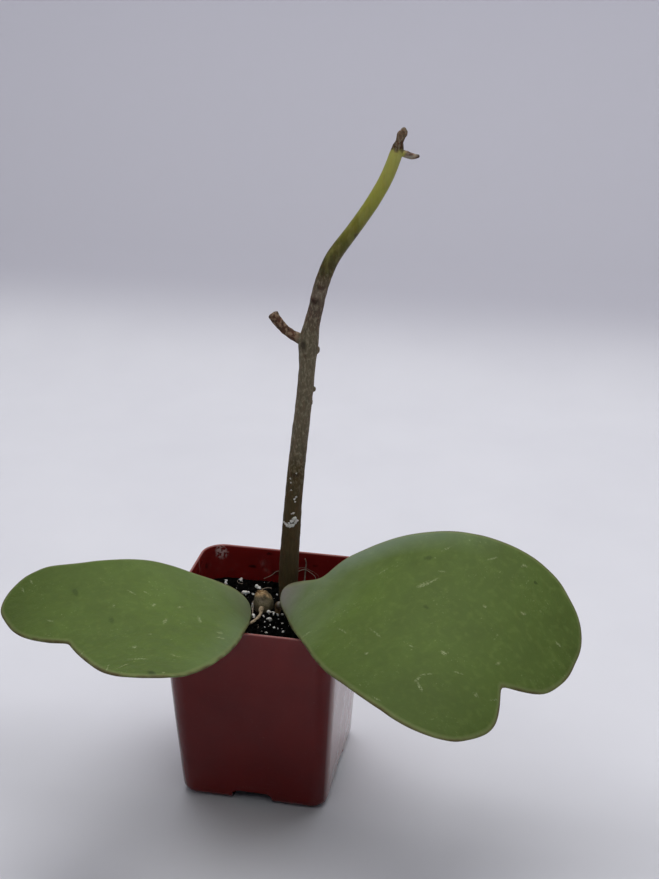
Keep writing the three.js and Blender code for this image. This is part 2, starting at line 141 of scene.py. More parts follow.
# Perlite in sight between the leaves: place and width of each grain, in millimetres.
PERLITE_IN_SIGHT = [
    (-20.8, 33.6, 1.7), (-26, 26, 1.7), (-11.8, 27.6, 1.8), (-10.4, 27.4, 1.3), (-15.4, 19.8, 2.4),
    (-14.2, 21.4, 1.6), (0.2, 4.8, 2.2), (1.7, 4.6, 1.8), (1.5, -1.3, 2.0), (5, -7, 1.1), (9.6, -9.7, 1.0),
    (2.4, -11, 1.0), (4, 3.8, 1.1), (5.8, 4.8, 1.0), (5.3, 0.6, 0.8), (7.3, -3, 0.9), (-0.4, -2.8, 0.8),
    (-6.2, 0.8, 1.6), (2.6, -4.4, 0.6), (6.8, -7.6, 0.6), (0.6, -7, 0.6), (-2, 2, 0.9), (-7, 24, 0.8),
    (10.8, 20.8, 1.2),
]


def linear(hex_code):
    """A colour written as sRGB hex, as the linear values that Blender works with."""
    shades = []
    for start in (1, 3, 5):
        share = int(hex_code[start:start + 2], 16) / 255
        shades.append(share / 12.92 if share <= 0.04045 else ((share + 0.055) / 1.055) ** 2.4)
    return (*shades, 1.0)


def distance(name, description, default=0.0):
    return FloatProperty(name=name, description=description, default=default, unit="LENGTH", precision=4)


def angle(name, description, degrees=0.0):
    return FloatProperty(name=name, description=description, default=math.radians(degrees), subtype="ANGLE")


def colour(name, description, hex_code):
    return FloatVectorProperty(
        name=name, description=description, default=linear(hex_code)[:3], subtype="COLOR", min=0, max=1,
    )


pot_low, pot_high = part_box("pot")
soil_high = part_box("soil")[1]


class PotSettings(bpy.types.PropertyGroup):
    """Sizes and colour of the nursery pot"""

    rim_width: distance("Rim width", "Outside width at the rim", pot_high[0] - pot_low[0])
    foot_width: distance("Foot width", "Outside width just above the rounded foot", 65.6 * MM)
    height: distance("Height", "Height from the surface that it stands on", pot_high[2])
    wall: distance("Wall", "Thickness of the moulded wall", 1.0 * MM)
    rim_corner: distance("Rim corner", "Corner radius at the rim", 10 * MM)
    foot_corner: distance("Foot corner", "Corner radius at the foot", 7 * MM)
    plastic: colour("Plastic", "Colour of the moulded polypropylene", "#5e100e")


class MixSettings(bpy.types.PropertyGroup):
    """Surface and grains of the potting mix"""

    level: distance("Level", "Mean height of the surface", 74.8 * MM)
    relief: distance("Relief", "Height of its clods", 1.5 * MM)
    crumbs: IntProperty(name="Crumbs", description="How many dark crumbs lie on it", default=1500)
    perlite: IntProperty(name="Perlite", description="How many more white grains lie on it", default=120)
    peat: colour("Peat", "Colour of the damp mix", "#050504")
    perlite_white: colour("Perlite", "Colour of the perlite", "#d9d6cf")


class ShootSettings(bpy.types.PropertyGroup):
    """Place and colours of the bare shoot"""

    foot: FloatVectorProperty(
        name="Foot", description="Where it leaves the mix", default=(7.4 * MM, 12.6 * MM),
        size=2, unit="LENGTH",
    )
    plane: angle("Plane", "Turn of the upright plane that it grows in, from +X", 11.8)
    old_bark: colour("Old bark", "Colour of the lowest bark", "#4b4228")
    grey_bark: colour("Grey bark", "Colour of the middle stretch", "#736d59")
    green_skin: colour("Green skin", "Colour of the young upper stretch", "#8d9139")


class StumpSettings(bpy.types.PropertyGroup):
    """Size and colour of the cut stump"""

    foot: FloatVectorProperty(
        name="Foot", description="Where it leaves the mix", default=(-4.0 * MM, 9.6 * MM),
        size=2, unit="LENGTH",
    )
    width: distance("Width", "Thickness of the stump", 9.2 * MM)
    low: distance("Low side", "Height of the slanting cut's lowest edge", 78.2 * MM)
    high: distance("High side", "Height of the slanting cut's highest edge", 82.0 * MM)
    wood: colour("Wood", "Colour of the old bark on it", "#645d46")


class LeafSettings(bpy.types.PropertyGroup):
    """Place, bend and colour of one leaf"""

    base: FloatVectorProperty(name="Base", description="Where the blade starts", size=3, unit="LENGTH")
    heading: angle("Heading", "Way that the midrib points")
    length: distance("Length", "Blade length along its midrib")
    climb: angle("Climb", "Mean slope of the midrib")
    roll: angle("Roll", "Slope across the blade")
    twist: angle("Twist", "Change of roll from base to end")
    arch: distance("Arch", "Height of the bend over its length")
    lean: FloatProperty(name="Lean", description="How far the arch leans to the end")
    cup: distance("Cup", "Lift of the sides, 60 mm out")
    tilt: FloatProperty(name="Tilt", description="How much steeper it lies sideways at its base")
    reach: distance("Reach", "How far along the tilt lasts")
    thick: distance("Thickness", "Thickness of the fleshy blade")
    stalk_foot: FloatVectorProperty(
        name="Stalk foot", description="Where its stalk stands", size=2, unit="LENGTH",
    )
    # Strength of the painted grey reflection by the base
    bloom: FloatProperty(name="Bloom", description="How strong the grey wax by its base is", max=1)
    green: colour("Green", "Main colour of the waxy skin", "#526330")


class StageSettings(bpy.types.PropertyGroup):
    """Camera, backdrop and lights"""

    lens: FloatProperty(name="Lens", description="Focal length on a 36 mm long side", default=61.43)
    place: FloatVectorProperty(
        name="Place", description="Where the camera stands", default=(0.1445, -0.5582, 0.4156),
        subtype="TRANSLATION",
    )
    turn: angle("Turn", "How far the camera is turned to the left of +Y", 11.76)
    tilt: angle("Tilt", "How far the camera looks down", 23.77)
    paper: colour("Paper", "Colour of the backdrop", "#dfe0e6")


def clear_selection():
    if bpy.context.object and bpy.context.object.mode != "OBJECT":
        bpy.ops.object.mode_set(mode="OBJECT")
    bpy.ops.object.select_all(action="DESELECT")


def pick(piece):
    """Selects one object alone and makes it the active one."""
    clear_selection()
    piece.select_set(True)
    bpy.context.view_layer.objects.active = piece


def smooth_line(points, steps):
    """Points of a smooth line through the given ones, with that many steps to each stretch."""
    line = []
    last = len(points) - 1
    for start in range(last):
        a, b, c, d = (points[min(max(start + shift, 0), last)] for shift in (-1, 0, 1, 2))
        for step in range(steps):
            t = step / steps
            near = (c - a) * 0.5
            far = (d - b) * 0.5
            line.append(
                b + near * t + (3 * (c - b) - 2 * near - far) * t ** 2 + (2 * (b - c) + near + far) * t ** 3
            )
    line.append(points[last])
    return line


def even_line(line, count):
    """The same line again, as points that are equally far apart."""
    walked = [0.0]
    for before, after in zip(line, line[1:]):
        walked.append(walked[-1] + (after - before).length)
    even = []
    at = 0
    for step in range(count + 1):
        goal = walked[-1] * step / count
        while at < len(line) - 2 and walked[at + 1] < goal:
            at += 1
        span = max(walked[at + 1] - walked[at], 1e-12)
        even.append(line[at].lerp(line[at + 1], min((goal - walked[at]) / span, 1.0)))
    return even


def ring_piece(name, rings):
    """A closed piece modelled ring by ring: a filled circle is set to the first ring, its rim is
    extruded to each next one, and the last is filled."""
    clear_selection()
    bpy.ops.mesh.primitive_circle_add(vertices=len(rings[0]), radius=rings[0][0].length, fill_type="NGON")
    piece = bpy.context.object
    piece.name = name
    piece.data.name = name
    bpy.ops.object.mode_set(mode="EDIT")
    shape = bmesh.from_edit_mesh(piece.data)
    number = shape.verts.layers.int.new("corner")
    for order, corner in enumerate(shape.verts):
        corner[number] = order
        corner.co = rings[0][order]
    bmesh.update_edit_mesh(piece.data)
    for ring in rings[1:]:
        bpy.ops.mesh.extrude_edges_move()
        shape = bmesh.from_edit_mesh(piece.data)
        number = shape.verts.layers.int["corner"]
        for corner in shape.verts:
            if corner.select:
                corner.co = ring[corner[number]]
        bmesh.update_edit_mesh(piece.data)
    bpy.ops.mesh.edge_face_add()
    bpy.ops.mesh.select_all(action="SELECT")
    bpy.ops.mesh.normals_make_consistent(inside=False)
    bpy.ops.object.mode_set(mode="OBJECT")
    piece.data.attributes.remove(piece.data.attributes["corner"])
    return piece


def refine(piece, levels):
    """Rounds the piece off with a subdivision surface."""
    pick(piece)
    bpy.ops.object.modifier_add(type="SUBSURF")
    finer = piece.modifiers[-1]
    finer.levels = levels
    finer.render_levels = levels
    bpy.ops.object.modifier_apply(modifier=finer.name)


def fuse(piece, parts, way="UNION"):
    """Joins closed parts to the piece, or cuts them out of it, and removes them."""
    for part in parts:
        pick(piece)
        bpy.ops.object.modifier_add(type="BOOLEAN")
        joint = piece.modifiers[-1]
        joint.operation = way
        joint.solver = "MANIFOLD"
        joint.object = part
        bpy.ops.object.modifier_apply(modifier=joint.name)
        bpy.data.objects.remove(part)


def tube_rings(points, widths, sides, steps, shape):
    """Rings square to a smooth line through the points, as wide as the widths along it."""
    line = smooth_line(points, steps)
    thick = smooth_line([Vector((width, 0)) for width in widths], steps)
    rings = []
    across = None
    for order, centre in enumerate(line):
        ahead = line[min(order + 1, len(line) - 1)] - line[max(order - 1, 0)]
        ahead.normalize()
        if across is None:
            across = ahead.orthogonal().normalized()
        across = (across - ahead * across.dot(ahead)).normalized()
        side = ahead.cross(across)
        share = order / (len(line) - 1)
        ring = []
        for step in range(sides):
            turn = step / sides * math.tau
            reach = thick[order][0] / 2 * shape(share, turn)
            ring.append(centre + across * (math.cos(turn) * reach) + side * (math.sin(turn) * reach))
        rings.append(ring)
    return rings


def tube(name, points, widths, sides, steps, levels=0, shape=lambda t, turn: 1.0):
    """A closed tube through the points, as wide as the widths along it."""
    piece = ring_piece(name, tube_rings(points, widths, sides, steps, shape))
    if levels:
        refine(piece, levels)
    return piece


def join(pieces):
    """Makes one object of the pieces, under the first one's name."""
    clear_selection()
    for piece in pieces:
        piece.select_set(True)
    bpy.context.view_layer.objects.active = pieces[0]
    bpy.ops.object.join()


def rough(spot, size, seed=0.0):
    """Smooth noise from about -1 to 1, with hills of the given size in metres."""
    return noise.noise(spot / size + Vector((seed, seed * 1.7, seed * 0.3)))


def push_out(piece, depth):
    """Moves each corner along its normal by depth(place)."""
    moves = [vertex.normal * depth(vertex.co) for vertex in piece.data.vertices]
    for vertex, move in zip(piece.data.vertices, moves):
        vertex.co += move


def lump(name, detail, seed, bumps):
    """One irregular lump, about 1 m across, to be copied."""
    clear_selection()
    bpy.ops.mesh.primitive_ico_sphere_add(subdivisions=detail, radius=0.5)
    piece = bpy.context.object
    piece.name = name
    for vertex in piece.data.vertices:
        vertex.co *= 1 + bumps * rough(vertex.co, 0.45, seed)
    return piece


def scatter(name, models, places):
    """One piece made of copies of the models. Each place is (spot, size as a Vector, turn)."""
    heap = bmesh.new()
    for order, (spot, size, turn) in enumerate(places):
        copy = models[order % len(models)].data.copy()
        copy.transform(Matrix.LocRotScale(spot, Euler(turn), size))
        heap.from_mesh(copy)
        bpy.data.meshes.remove(copy)
    mesh = bpy.data.meshes.new(name)
    heap.to_mesh(mesh)
    heap.free()
    piece = bpy.data.objects.new(name, mesh)
    bpy.context.collection.objects.link(piece)
    for model in models:
        bpy.data.objects.remove(model)
    return piece


def dress(piece, material, slot, *nodes, sharp=None):
    """Gives a finished piece its material and its body, and hides the CAD nodes it stands for. The slot is
    not used.
    """
    if not piece.data.polygons:
        raise RuntimeError(f"{piece.name} has no faces")
    piece.data.materials.clear()
    piece.data.materials.append(material)
    pick(piece)
    if sharp is None:
        bpy.ops.object.shade_smooth()
    else:
        bpy.ops.object.shade_smooth_by_angle(angle=math.radians(sharp))
    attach(piece, "root")
    if nodes:
        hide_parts(*nodes)


def add_node(tree, kind, inputs=None, output=0, stops=None, **settings):
    """Adds a node with its settings, its colour stops, and its inputs as values or links."""
    node = tree.nodes.new(kind)
    for field, value in settings.items():
        setattr(node, field, value)
    if stops:
        while len(node.color_ramp.elements) < len(stops):
            node.color_ramp.elements.new(1.0)
        for element, (position, shade) in zip(node.color_ramp.elements, stops):
            element.position = position
            element.color = shade
    for key, value in (inputs or {}).items():
        if isinstance(value, bpy.types.NodeSocket):
            tree.links.new(value, node.inputs[key])
        else:
            node.inputs[key].default_value = value
    return node.outputs[output]


def new_material(name, **surface):
    """A material and its tree, with the values that its shader has all over."""
    material = bpy.data.materials.new(name)
    material.use_nodes = True
    tree = material.node_tree
    shader = tree.nodes["Principled BSDF"]
    for field, value in surface.items():
        shader.inputs[field.replace("_", " ")].default_value = value
    return material, tree, shader


def object_place(tree, stretch=(1, 1, 1)):
    """Places on the object in millimetres, so that a pattern's scale is one over its size."""
    here = add_node(tree, "ShaderNodeTexCoord", output="Object")
    scale = [share / MM for share in stretch]
    return add_node(tree, "ShaderNodeMapping", {"Vector": here, "Scale": scale})


def blotches(tree, where, size, detail, low, high, distortion=0.0):
    """Noise of the given size in millimetres, turned to 0 below low and 1 above high."""
    field = add_node(
        tree, "ShaderNodeTexNoise",
        {"Vector": where, "Scale": 1 / size, "Detail": detail, "Distortion": distortion},
    )
    return add_node(tree, "ShaderNodeMapRange", {"Value": field, "From Min": low, "From Max": high})


def coats(tree, shade, *layers):
    """A colour under coats of others. Each coat is its colour, its strength and its masks."""
    for tint, share, *masks in layers:
        for mask in masks:
            share = add_node(tree, "ShaderNodeMath", {0: mask, 1: share}, operation="MULTIPLY")
        shade = add_node(
            tree, "ShaderNodeMix", {0: share, 6: shade, 7: linear(tint)}, output=2, data_type="RGBA",
        )
    return shade


def wire(tree, shader, shade, relief, gloss=None):
    """Links a material's colour, bumps and roughness to its shader."""
    tree.links.new(shade, shader.inputs["Base Color"])
    tree.links.new(relief, shader.inputs["Normal"])
    if gloss is not None:
        tree.links.new(gloss, shader.inputs["Roughness"])


def reliefs(tree, *layers):
    """Bumps laid over one another. Each is its height pattern and its depth in millimetres."""
    normal = None
    for height, depth in layers:
        inputs = {"Height": height, "Distance": depth * MM}
        if normal is not None:
            inputs["Normal"] = normal
        normal = add_node(tree, "ShaderNodeBump", inputs)
    return normal


def shaken(tree, where, size, reach):
    """The same places, moved by noise, so that what is drawn there gets ragged edges."""
    push = add_node(
        tree, "ShaderNodeTexNoise", {"Vector": where, "Scale": 1 / size, "Detail": 3.0}, output="Color",
    )
    push = add_node(
        tree, "ShaderNodeVectorMath", {0: push, 1: [2 * reach] * 3, 2: [-reach] * 3},
        operation="MULTIPLY_ADD",
    )
    return add_node(tree, "ShaderNodeVectorMath", {0: where, 1: push}, operation="ADD")


def marks(tree, where, rows):
    """1 on each small mark, 0 off them. Each is its place, half sizes, turn and strength."""
    total = 0.0
    for place, size, turn, strength in rows:
        local = add_node(
            tree, "ShaderNodeMapping",
            {
                "Vector": where,
                "Location": (*place, 0)[:3],
                "Rotation": (0, 0, math.radians(turn)),
                "Scale": (*size, 1)[:3],
            },
            vector_type="TEXTURE",
        )
        reach = add_node(tree, "ShaderNodeVectorMath", {0: local}, output="Value", operation="LENGTH")
        inside = add_node(
            tree, "ShaderNodeMapRange",
            {"Value": reach, "From Min": 1.3, "From Max": 0.6, "To Max": strength},
        )
        total = add_node(tree, "ShaderNodeMath", {0: inside, 1: total}, operation="MAXIMUM")
    return total


def moulded_polypropylene(settings):
    """Injection-moulded polypropylene in a thin wall: satin, dark red where light comes through
    it, with painted reflection lighter towards the rim, a painted highlight on the lip and a painted
    pale reflection on the right side, with handling scratches and dried splashes of mix."""
    material, tree, shader = new_material(
        "moulded_polypropylene", IOR=1.49, Subsurface_Weight=0.2, Subsurface_Scale=0.004,
        Subsurface_Radius=(1.0, 0.14, 0.1), Specular_IOR_Level=0.3,
    )
    where = object_place(tree)
    height = add_node(tree, "ShaderNodeSeparateXYZ", {"Vector": where}, output="Z")
    # Painted reflection: the plastic is made lighter towards the rim
    painted_reflection_by_rim = add_node(tree, "ShaderNodeMapRange", {"Value": height, "From Min": 20.0, "From Max": 95.0})
    # Painted highlight along the top of the lip, where the rounded rim catches the light
    top = settings.height / MM
    lip_highlight_band = {"Value": height, "From Min": top - 0.8, "From Max": top - 0.3}
    lip = add_node(tree, "ShaderNodeMapRange", lip_highlight_band)
    across = add_node(tree, "ShaderNodeSeparateXYZ", {"Vector": where}, output="X")
    # Painted reflection: the right side, which tapers 58 in 1000 like the others, is made pale as if it
    # mirrored the bright floor and wall
    beyond = add_node(tree, "ShaderNodeMath", {0: height, 1: -0.058, 2: across}, operation="MULTIPLY_ADD")
    right_side = add_node(tree, "ShaderNodeMapRange", {"Value": beyond, "From Min": 31.4, "From Max": 32.6})
    # Fine pale scratches run nearly level
    scratches = blotches(tree, object_place(tree, (0.12, 0.12, 1.6)), 1.1, 2, 0.66, 0.74, 0.6)
    # Dried residue in the back left corner, smears of mix on the inner walls and one long scratch
    crusty = marks(tree, shaken(tree, where, 2.0, 1.0), [((-30.5, 36, 86.5), (2.9, 1.5, 3.4), 0, 1.0)])
    crumbly = blotches(tree, where, 1.1, 3, 0.44, 0.5)
    smears = marks(
        tree, shaken(tree, where, 3.0, 1.2),
        [
            ((-8, 36, 87.5), (1.8, 1.5, 0.9), 0, 0.9), ((-15.5, 36, 80.3), (2.0, 1.5, 0.9), 0, 0.9),
            ((-36, 30, 82), (1.5, 1.6, 1.2), 0, 0.6), ((14, 36, 84), (1.5, 1.5, 0.7), 0, 0.6),
            ((-36, 8, 84), (1.5, 1.6, 1.0), 0, 0.6), ((-4, 36, 78), (3.0, 1.5, 1.0), 0, 0.7),
        ],
    )
    long_scratch = marks(
        tree, shaken(tree, where, 2.0, 0.5),
        [((-36, 21, 87), (1.5, 0.7, 3.6), 0, 1.0), ((-36, 28, 90), (1.5, 1.2, 0.5), 0, 0.8)],
    )
    shade = coats(
        tree, (*settings.plastic, 1),
        ("#4c0d0e", 0.6, blotches(tree, where, 26, 3, 0.35, 0.75)),
        # Painted reflection, lighter in blotches towards the rim
        ("#80302d", 0.35, painted_reflection_by_rim, blotches(tree, where, 17, 4, 0.1, 0.7)),
        # Painted highlight on the lip
        ("#c08f88", 0.35, lip),
        # Painted reflection on the right side
        ("#bda5a2", 0.55, right_side),
        ("#9a6a66", 0.1, scratches, blotches(tree, where, 14, 2, 0.5, 0.72)),
        # Dust specks, drawn 0.5 mm wide so that they show
        ("#b39a94", 0.12, blotches(tree, where, 0.5, 1, 0.74, 0.8)),
        ("#120a0a", 0.85, smears),
        ("#8d6f6a", 0.7, long_scratch),
        ("#a59a95", 0.8, crusty, crumbly),
    )
    crust = add_node(tree, "ShaderNodeMath", {0: crusty, 1: crumbly}, operation="MULTIPLY")
    gloss = add_node(
        tree, "ShaderNodeMapRange",
        {"Value": blotches(tree, where, 9, 3, 0.2, 0.8), "To Min": 0.09, "To Max": 0.15},
    )
    gloss = add_node(tree, "ShaderNodeMath", {0: crust, 1: 0.5, 2: gloss}, operation="MULTIPLY_ADD")
    relief = reliefs(
        tree,
        (blotches(tree, where, 18, 2, 0.0, 1.0), 0.5),
        (blotches(tree, where, 0.9, 2, 0.0, 1.0), 0.02),
        (crust, 0.2),
    )
    wire(tree, shader, shade, relief, gloss)
    return material


def damp_mix(settings):
    """Peat and composted bark, damp: near black, dull, with brown fibres here and there."""
    material, tree, shader = new_material("damp_peat_and_bark", Roughness=0.95, Specular_IOR_Level=0.04)
    where = object_place(tree)
    shade = coats(
        tree, (*settings.peat, 1),
        ("#040404", 1.0, blotches(tree, where, 2.4, 3, 0.35, 0.7)),
        ("#241a13", 0.5, blotches(tree, where, 1.3, 2, 0.68, 0.76)),
        ("#8d8a86", 1.0, blotches(tree, where, 0.4, 1, 0.78, 0.81)),
    )
    clods = (blotches(tree, where, 1.8, 4, 0.2, 0.8), 0.8)
    wire(tree, shader, shade, reliefs(tree, clods, (blotches(tree, where, 0.4, 3, 0.2, 0.8), 0.15)))
    return material


def expanded_perlite(settings):
    """Perlite, volcanic glass puffed by heat: chalky white, pitted, greyed where it is damp."""
    material, tree, shader = new_material("expanded_perlite", Roughness=0.85, Subsurface_Weight=0.1)
    where = object_place(tree)
    shade = coats(
        tree, (*settings.perlite_white, 1),
        ("#a39c90", 1.0, blotches(tree, where, 1.1, 3, 0.45, 0.8)),
        ("#5f574c", 1.0, blotches(tree, where, 0.3, 2, 0.68, 0.76)),
    )
    wire(tree, shader, shade, reliefs(tree, (blotches(tree, where, 0.35, 3, 0.2, 0.8), 0.12)))
    return material


def hoya_bark(settings):
    """Hoya stem: corky olive-brown bark at the foot, flaking grey bark above it, smooth green
    skin higher up and a dead brown tip."""
    material, tree, shader = new_material("hoya_bark", Specular_IOR_Level=0.2, Subsurface_Weight=0.03)
    where = object_place(tree)
    height = add_node(tree, "ShaderNodeSeparateXYZ", {"Vector": where}, output="Z")
    ragged = add_node(tree, "ShaderNodeTexNoise", {"Vector": where, "Scale": 1 / 2.2, "Detail": 4.0})
    level = add_node(tree, "ShaderNodeMath", {0: ragged, 1: 5.0, 2: height}, operation="MULTIPLY_ADD")
    level = add_node(tree, "ShaderNodeMath", {0: level, 1: 2.5}, operation="SUBTRACT")
    zone = add_node(tree, "ShaderNodeMapRange", {"Value": level, "From Min": 75.0, "From Max": 295.0})
    rows = [
        (75, "#3a3320"), (84, settings.old_bark), (146, "#544b31"), (149, "#625c48"), (158, "#6d6754"),
        (190, settings.grey_bark), (205, "#6b6551"), (215, "#5a5044"), (223, "#71675a"), (230, "#57503a"),
        (232, "#38361a"), (245, "#54561f"), (262, settings.green_skin), (281, "#a8aa57"),
        (282.5, "#44361f"), (285, "#3d3122"), (287, "#6e5f4a"), (294, "#56483a"),
    ]
    stops = [((z - 75) / 220, linear(tint) if isinstance(tint, str) else (*tint, 1)) for z, tint in rows]
    shade = add_node(tree, "ShaderNodeValToRGB", {"Fac": zone}, stops=stops)
    green = add_node(tree, "ShaderNodeMapRange", {"Value": level, "From Min": 229.0, "From Max": 234.0})
    dead = add_node(tree, "ShaderNodeMapRange", {"Value": level, "From Min": 281.5, "From Max": 283.0})
    smooth = add_node(tree, "ShaderNodeMath", {0: green, 1: dead}, operation="SUBTRACT")
    corky = add_node(tree, "ShaderNodeMapRange", {"Value": smooth, "To Min": 1.0, "To Max": 0.15})
    # Grain, cork and pale flakes run along the shoot
    along = object_place(tree, (1, 1, 0.22))
    grain = blotches(tree, along, 0.8, 4, 0.3, 0.75, 0.4)
    flakes = blotches(tree, object_place(tree, (1, 1, 0.5)), 0.9, 4, 0.5, 0.62, 0.6)
    high = add_node(tree, "ShaderNodeMapRange", {"Value": level, "From Min": 128.0, "From Max": 150.0})
    twig = add_node(tree, "ShaderNodeAttribute", attribute_name="twig", output="Fac")
    bract = marks(tree, where, [((57.5, 22.5, 279.5), (5, 5, 4), 0, 1.0)])
    bract_end = marks(tree, where, [((60.5, 23.7, 279.5), (2, 3, 3), 0, 1.0)])
    bract_stripes = blotches(tree, object_place(tree, (0.3, 0.3, 1)), 0.9, 1, 0.4, 0.55)
    spots = marks(
        tree, shaken(tree, where, 1.5, 0.8),
        [
            ((19.5, 14, 220), (1.9, 4.0, 1.5), 0, 0.9), ((22, 14, 226), (1.6, 4.0, 1.0), 0, 0.6),
            ((15, 12, 201), (1.2, 4.0, 2.4), 0, 0.7), ((11, 8, 142), (2.2, 4.0, 1.2), 0, 0.5),
            ((36, 18, 247), (1.2, 4.0, 1.6), 0, 0.7), ((16, 14, 196), (1.0, 4.0, 1.4), 0, 0.6),
        ],
    )
    shade = coats(
        tree, shade,
        ("#2b2719", 0.5, grain, corky),
        ("#a19a82", 0.4, flakes, corky, high),
        ("#8f9052", 0.4, blotches(tree, along, 2.2, 3, 0.5, 0.7), smooth),
        ("#4a4a1c", 0.35, blotches(tree, along, 3.0, 3, 0.55, 0.75), smooth),
        ("#241c14", 1.0, spots),
        ("#4a382b", 1.0, twig),
        ("#8d7b64", 0.8, twig, blotches(tree, where, 1.6, 3, 0.45, 0.62)),
        ("#1d1510", 0.8, twig, blotches(tree, where, 1.1, 2, 0.58, 0.7)),
        ("#8b8778", 0.9, bract, twig, bract_stripes),
        ("#221b16", 0.9, bract_end, twig),
    )
    gloss = add_node(tree, "ShaderNodeMapRange", {"Value": smooth, "To Min": 0.78, "To Max": 0.42})
    cork = add_node(tree, "ShaderNodeMath", {0: grain, 1: corky}, operation="MULTIPLY")
    wire(tree, shader, shade, reliefs(tree, (cork, 0.3)), gloss)
    return material


def torn_dry_wood(settings):
    """Dead wood and torn bark of the stump: dry, fibrous, tan at the tear and olive brown below."""
    material, tree, shader = new_material("torn_dry_wood", Roughness=0.88, Specular_IOR_Level=0.25)
    where = object_place(tree)
    torn = marks(
        tree, shaken(tree, where, 1.2, 0.6),
        [((-6.0, 11.5, 82.0), (3.0, 4.2, 1.8), 0, 1.0), ((-2.0, 11.0, 80.6), (3.2, 0.9, 1.0), -35, 0.7)],
    )
    fibres = blotches(tree, object_place(tree, (1, 1, 0.15)), 0.35, 3, 0.3, 0.7)
    shade = coats(
        tree, (*settings.wood, 1),
        ("#857b6b", 0.5, blotches(tree, where, 4.0, 2, 0.5, 0.7)),
        ("#c2a67c", 1.0, torn),
        ("#9c7448", 0.8, torn, blotches(tree, where, 1.6, 2, 0.46, 0.6)),
        ("#2f2618", 0.5, fibres),
    )
    wire(tree, shader, shade, reliefs(tree, (fibres, 0.3)))
    return material


def dried_root(name, pale, deep):
    """Dry roots and scraps of stalk: papery, ribbed along their length, dirty in places."""
    material, tree, shader = new_material(name, Roughness=0.85)
    where = object_place(tree)
    shade = coats(
        tree, linear(pale),
        (deep, 1.0, blotches(tree, where, 1.2, 3, 0.4, 0.7)),
        ("#4c3c2d", 1.0, blotches(tree, where, 0.5, 2, 0.64, 0.72)),
    )
    wire(tree, shader, shade, reliefs(tree, (blotches(tree, where, 0.4, 2, 0.2, 0.8), 0.15)))
    return material


def waxy_leaf(name, settings, scars, bruises):
    """Hoya leaf: a thick waxy cuticle, satin, olive green, with old scars, a painted grey
    reflection by the base, painted shade over its far half and a thin dried margin."""
    material, tree, shader = new_material(
        name, IOR=1.45, Subsurface_Weight=0.05, Subsurface_Scale=0.003, Specular_IOR_Level=0.1,
    )
    plan = add_node(
        tree, "ShaderNodeMapping",
        {
            "Vector": add_node(tree, "ShaderNodeTexCoord", output="Object"),
            "Location": (settings.base[0], settings.base[1], 0),
            "Rotation": (0, 0, settings.heading),
            "Scale": (MM, MM, MM),
        },
        vector_type="TEXTURE",
    )
    flat = add_node(tree, "ShaderNodeVectorMath", {0: plan, 1: (1, 1, 0)}, operation="MULTIPLY")
    out_along, out_across, height = (
        add_node(tree, "ShaderNodeSeparateXYZ", {"Vector": plan}, output=axis) for axis in "XYZ"
    )
    to_margin = add_node(tree, "ShaderNodeAttribute", attribute_name="to_margin", output="Fac")
    below = settings.base[2] / MM
    stretches = {
        "right_side": (out_across, -5.0, -45.0),
        "left_side": (out_across, 0.0, 15.0),
        "first_half": (out_along, 85.0, 40.0),
        "last_half": (out_along, 25.0, 75.0),
        "near": (out_along, 48.0, 10.0),
        "far": (out_along, 50.0, 125.0),
        "heel": (out_along, 16.0, 2.0),
        "stalk": (height, below - 4, below - 8),
        "by_margin": (to_margin, 12.0, 2.0),
        "rim": (to_margin, 1.4, 0.6),
        "pale_edge": (to_margin, 2.4, 1.0),
    }
    on = {}
    for part, (value, start, end) in stretches.items():
        on[part] = add_node(tree, "ShaderNodeMapRange", {"Value": value, "From Min": start, "From Max": end})
    rubbed = shaken(tree, flat, 1.1, 0.8)
    broken = blotches(tree, flat, 0.8, 3, 0.38, 0.6)
    scar = marks(tree, rubbed, scars)
    flecks = blotches(tree, flat, 1.0, 3, 0.62, 0.72, 0.8)
    shade = coats(
        tree, (*settings.green, 1),
        ("#586c32", 1.0, blotches(tree, flat, 30, 3, 0.35, 0.7)),
        ("#4b5b2c", 0.5, blotches(tree, flat, 8, 4, 0.45, 0.75)),
        # Painted shade: darker over the far half
        ("#3d4b20", 0.45, on["far"]),
        ("#66783f", 0.4, blotches(tree, flat, 3.0, 4, 0.5, 0.75)),
        # Painted shade: darker on the right of the last half
        ("#3d4b20", 0.45, on["last_half"], on["right_side"]),
        # Painted reflection: a grey sheen near the base, along the left margin of the first half and on the
        # heel, where the blade slopes away and mirrors the bright backdrop
        ("#758267", 0.62 * settings.bloom, on["near"], blotches(tree, flat, 14, 3, 0.15, 0.6)),
        ("#788678", 0.6 * settings.bloom, on["by_margin"], on["first_half"], on["left_side"]),
        ("#84807b", 0.9 * settings.bloom, on["heel"]),
        # Scurf: fine pale flecks gathered in patches
        ("#8f9c6c", 0.55, flecks, blotches(tree, flat, 15, 2, 0.5, 0.66)),
        ("#a3ab84", 0.8, scar, broken),
        ("#2f3c1c", 1.0, marks(tree, rubbed, bruises)),
        ("#7b8457", 0.5, on["pale_edge"]),
        ("#4e3f2c", 0.8, on["rim"], blotches(tree, flat, 7, 3, 0.3, 0.6)),
        ("#5c4a35", 1.0, on["stalk"]),
    )
    gloss = add_node(
        tree, "ShaderNodeMapRange",
        {"Value": blotches(tree, flat, 3, 4, 0.2, 0.8), "To Min": 0.5, "To Max": 0.64},
    )
    gloss = add_node(tree, "ShaderNodeMath", {0: scar, 1: 0.25, 2: gloss}, operation="MULTIPLY_ADD")
    relief = reliefs(
        tree,
        (blotches(tree, flat, 7, 3, 0.1, 0.9), 0.4),
        (blotches(tree, flat, 0.8, 3, 0.2, 0.8), 0.05),
        (scar, 0.15),
    )
    wire(tree, shader, shade, relief, gloss)
    return material


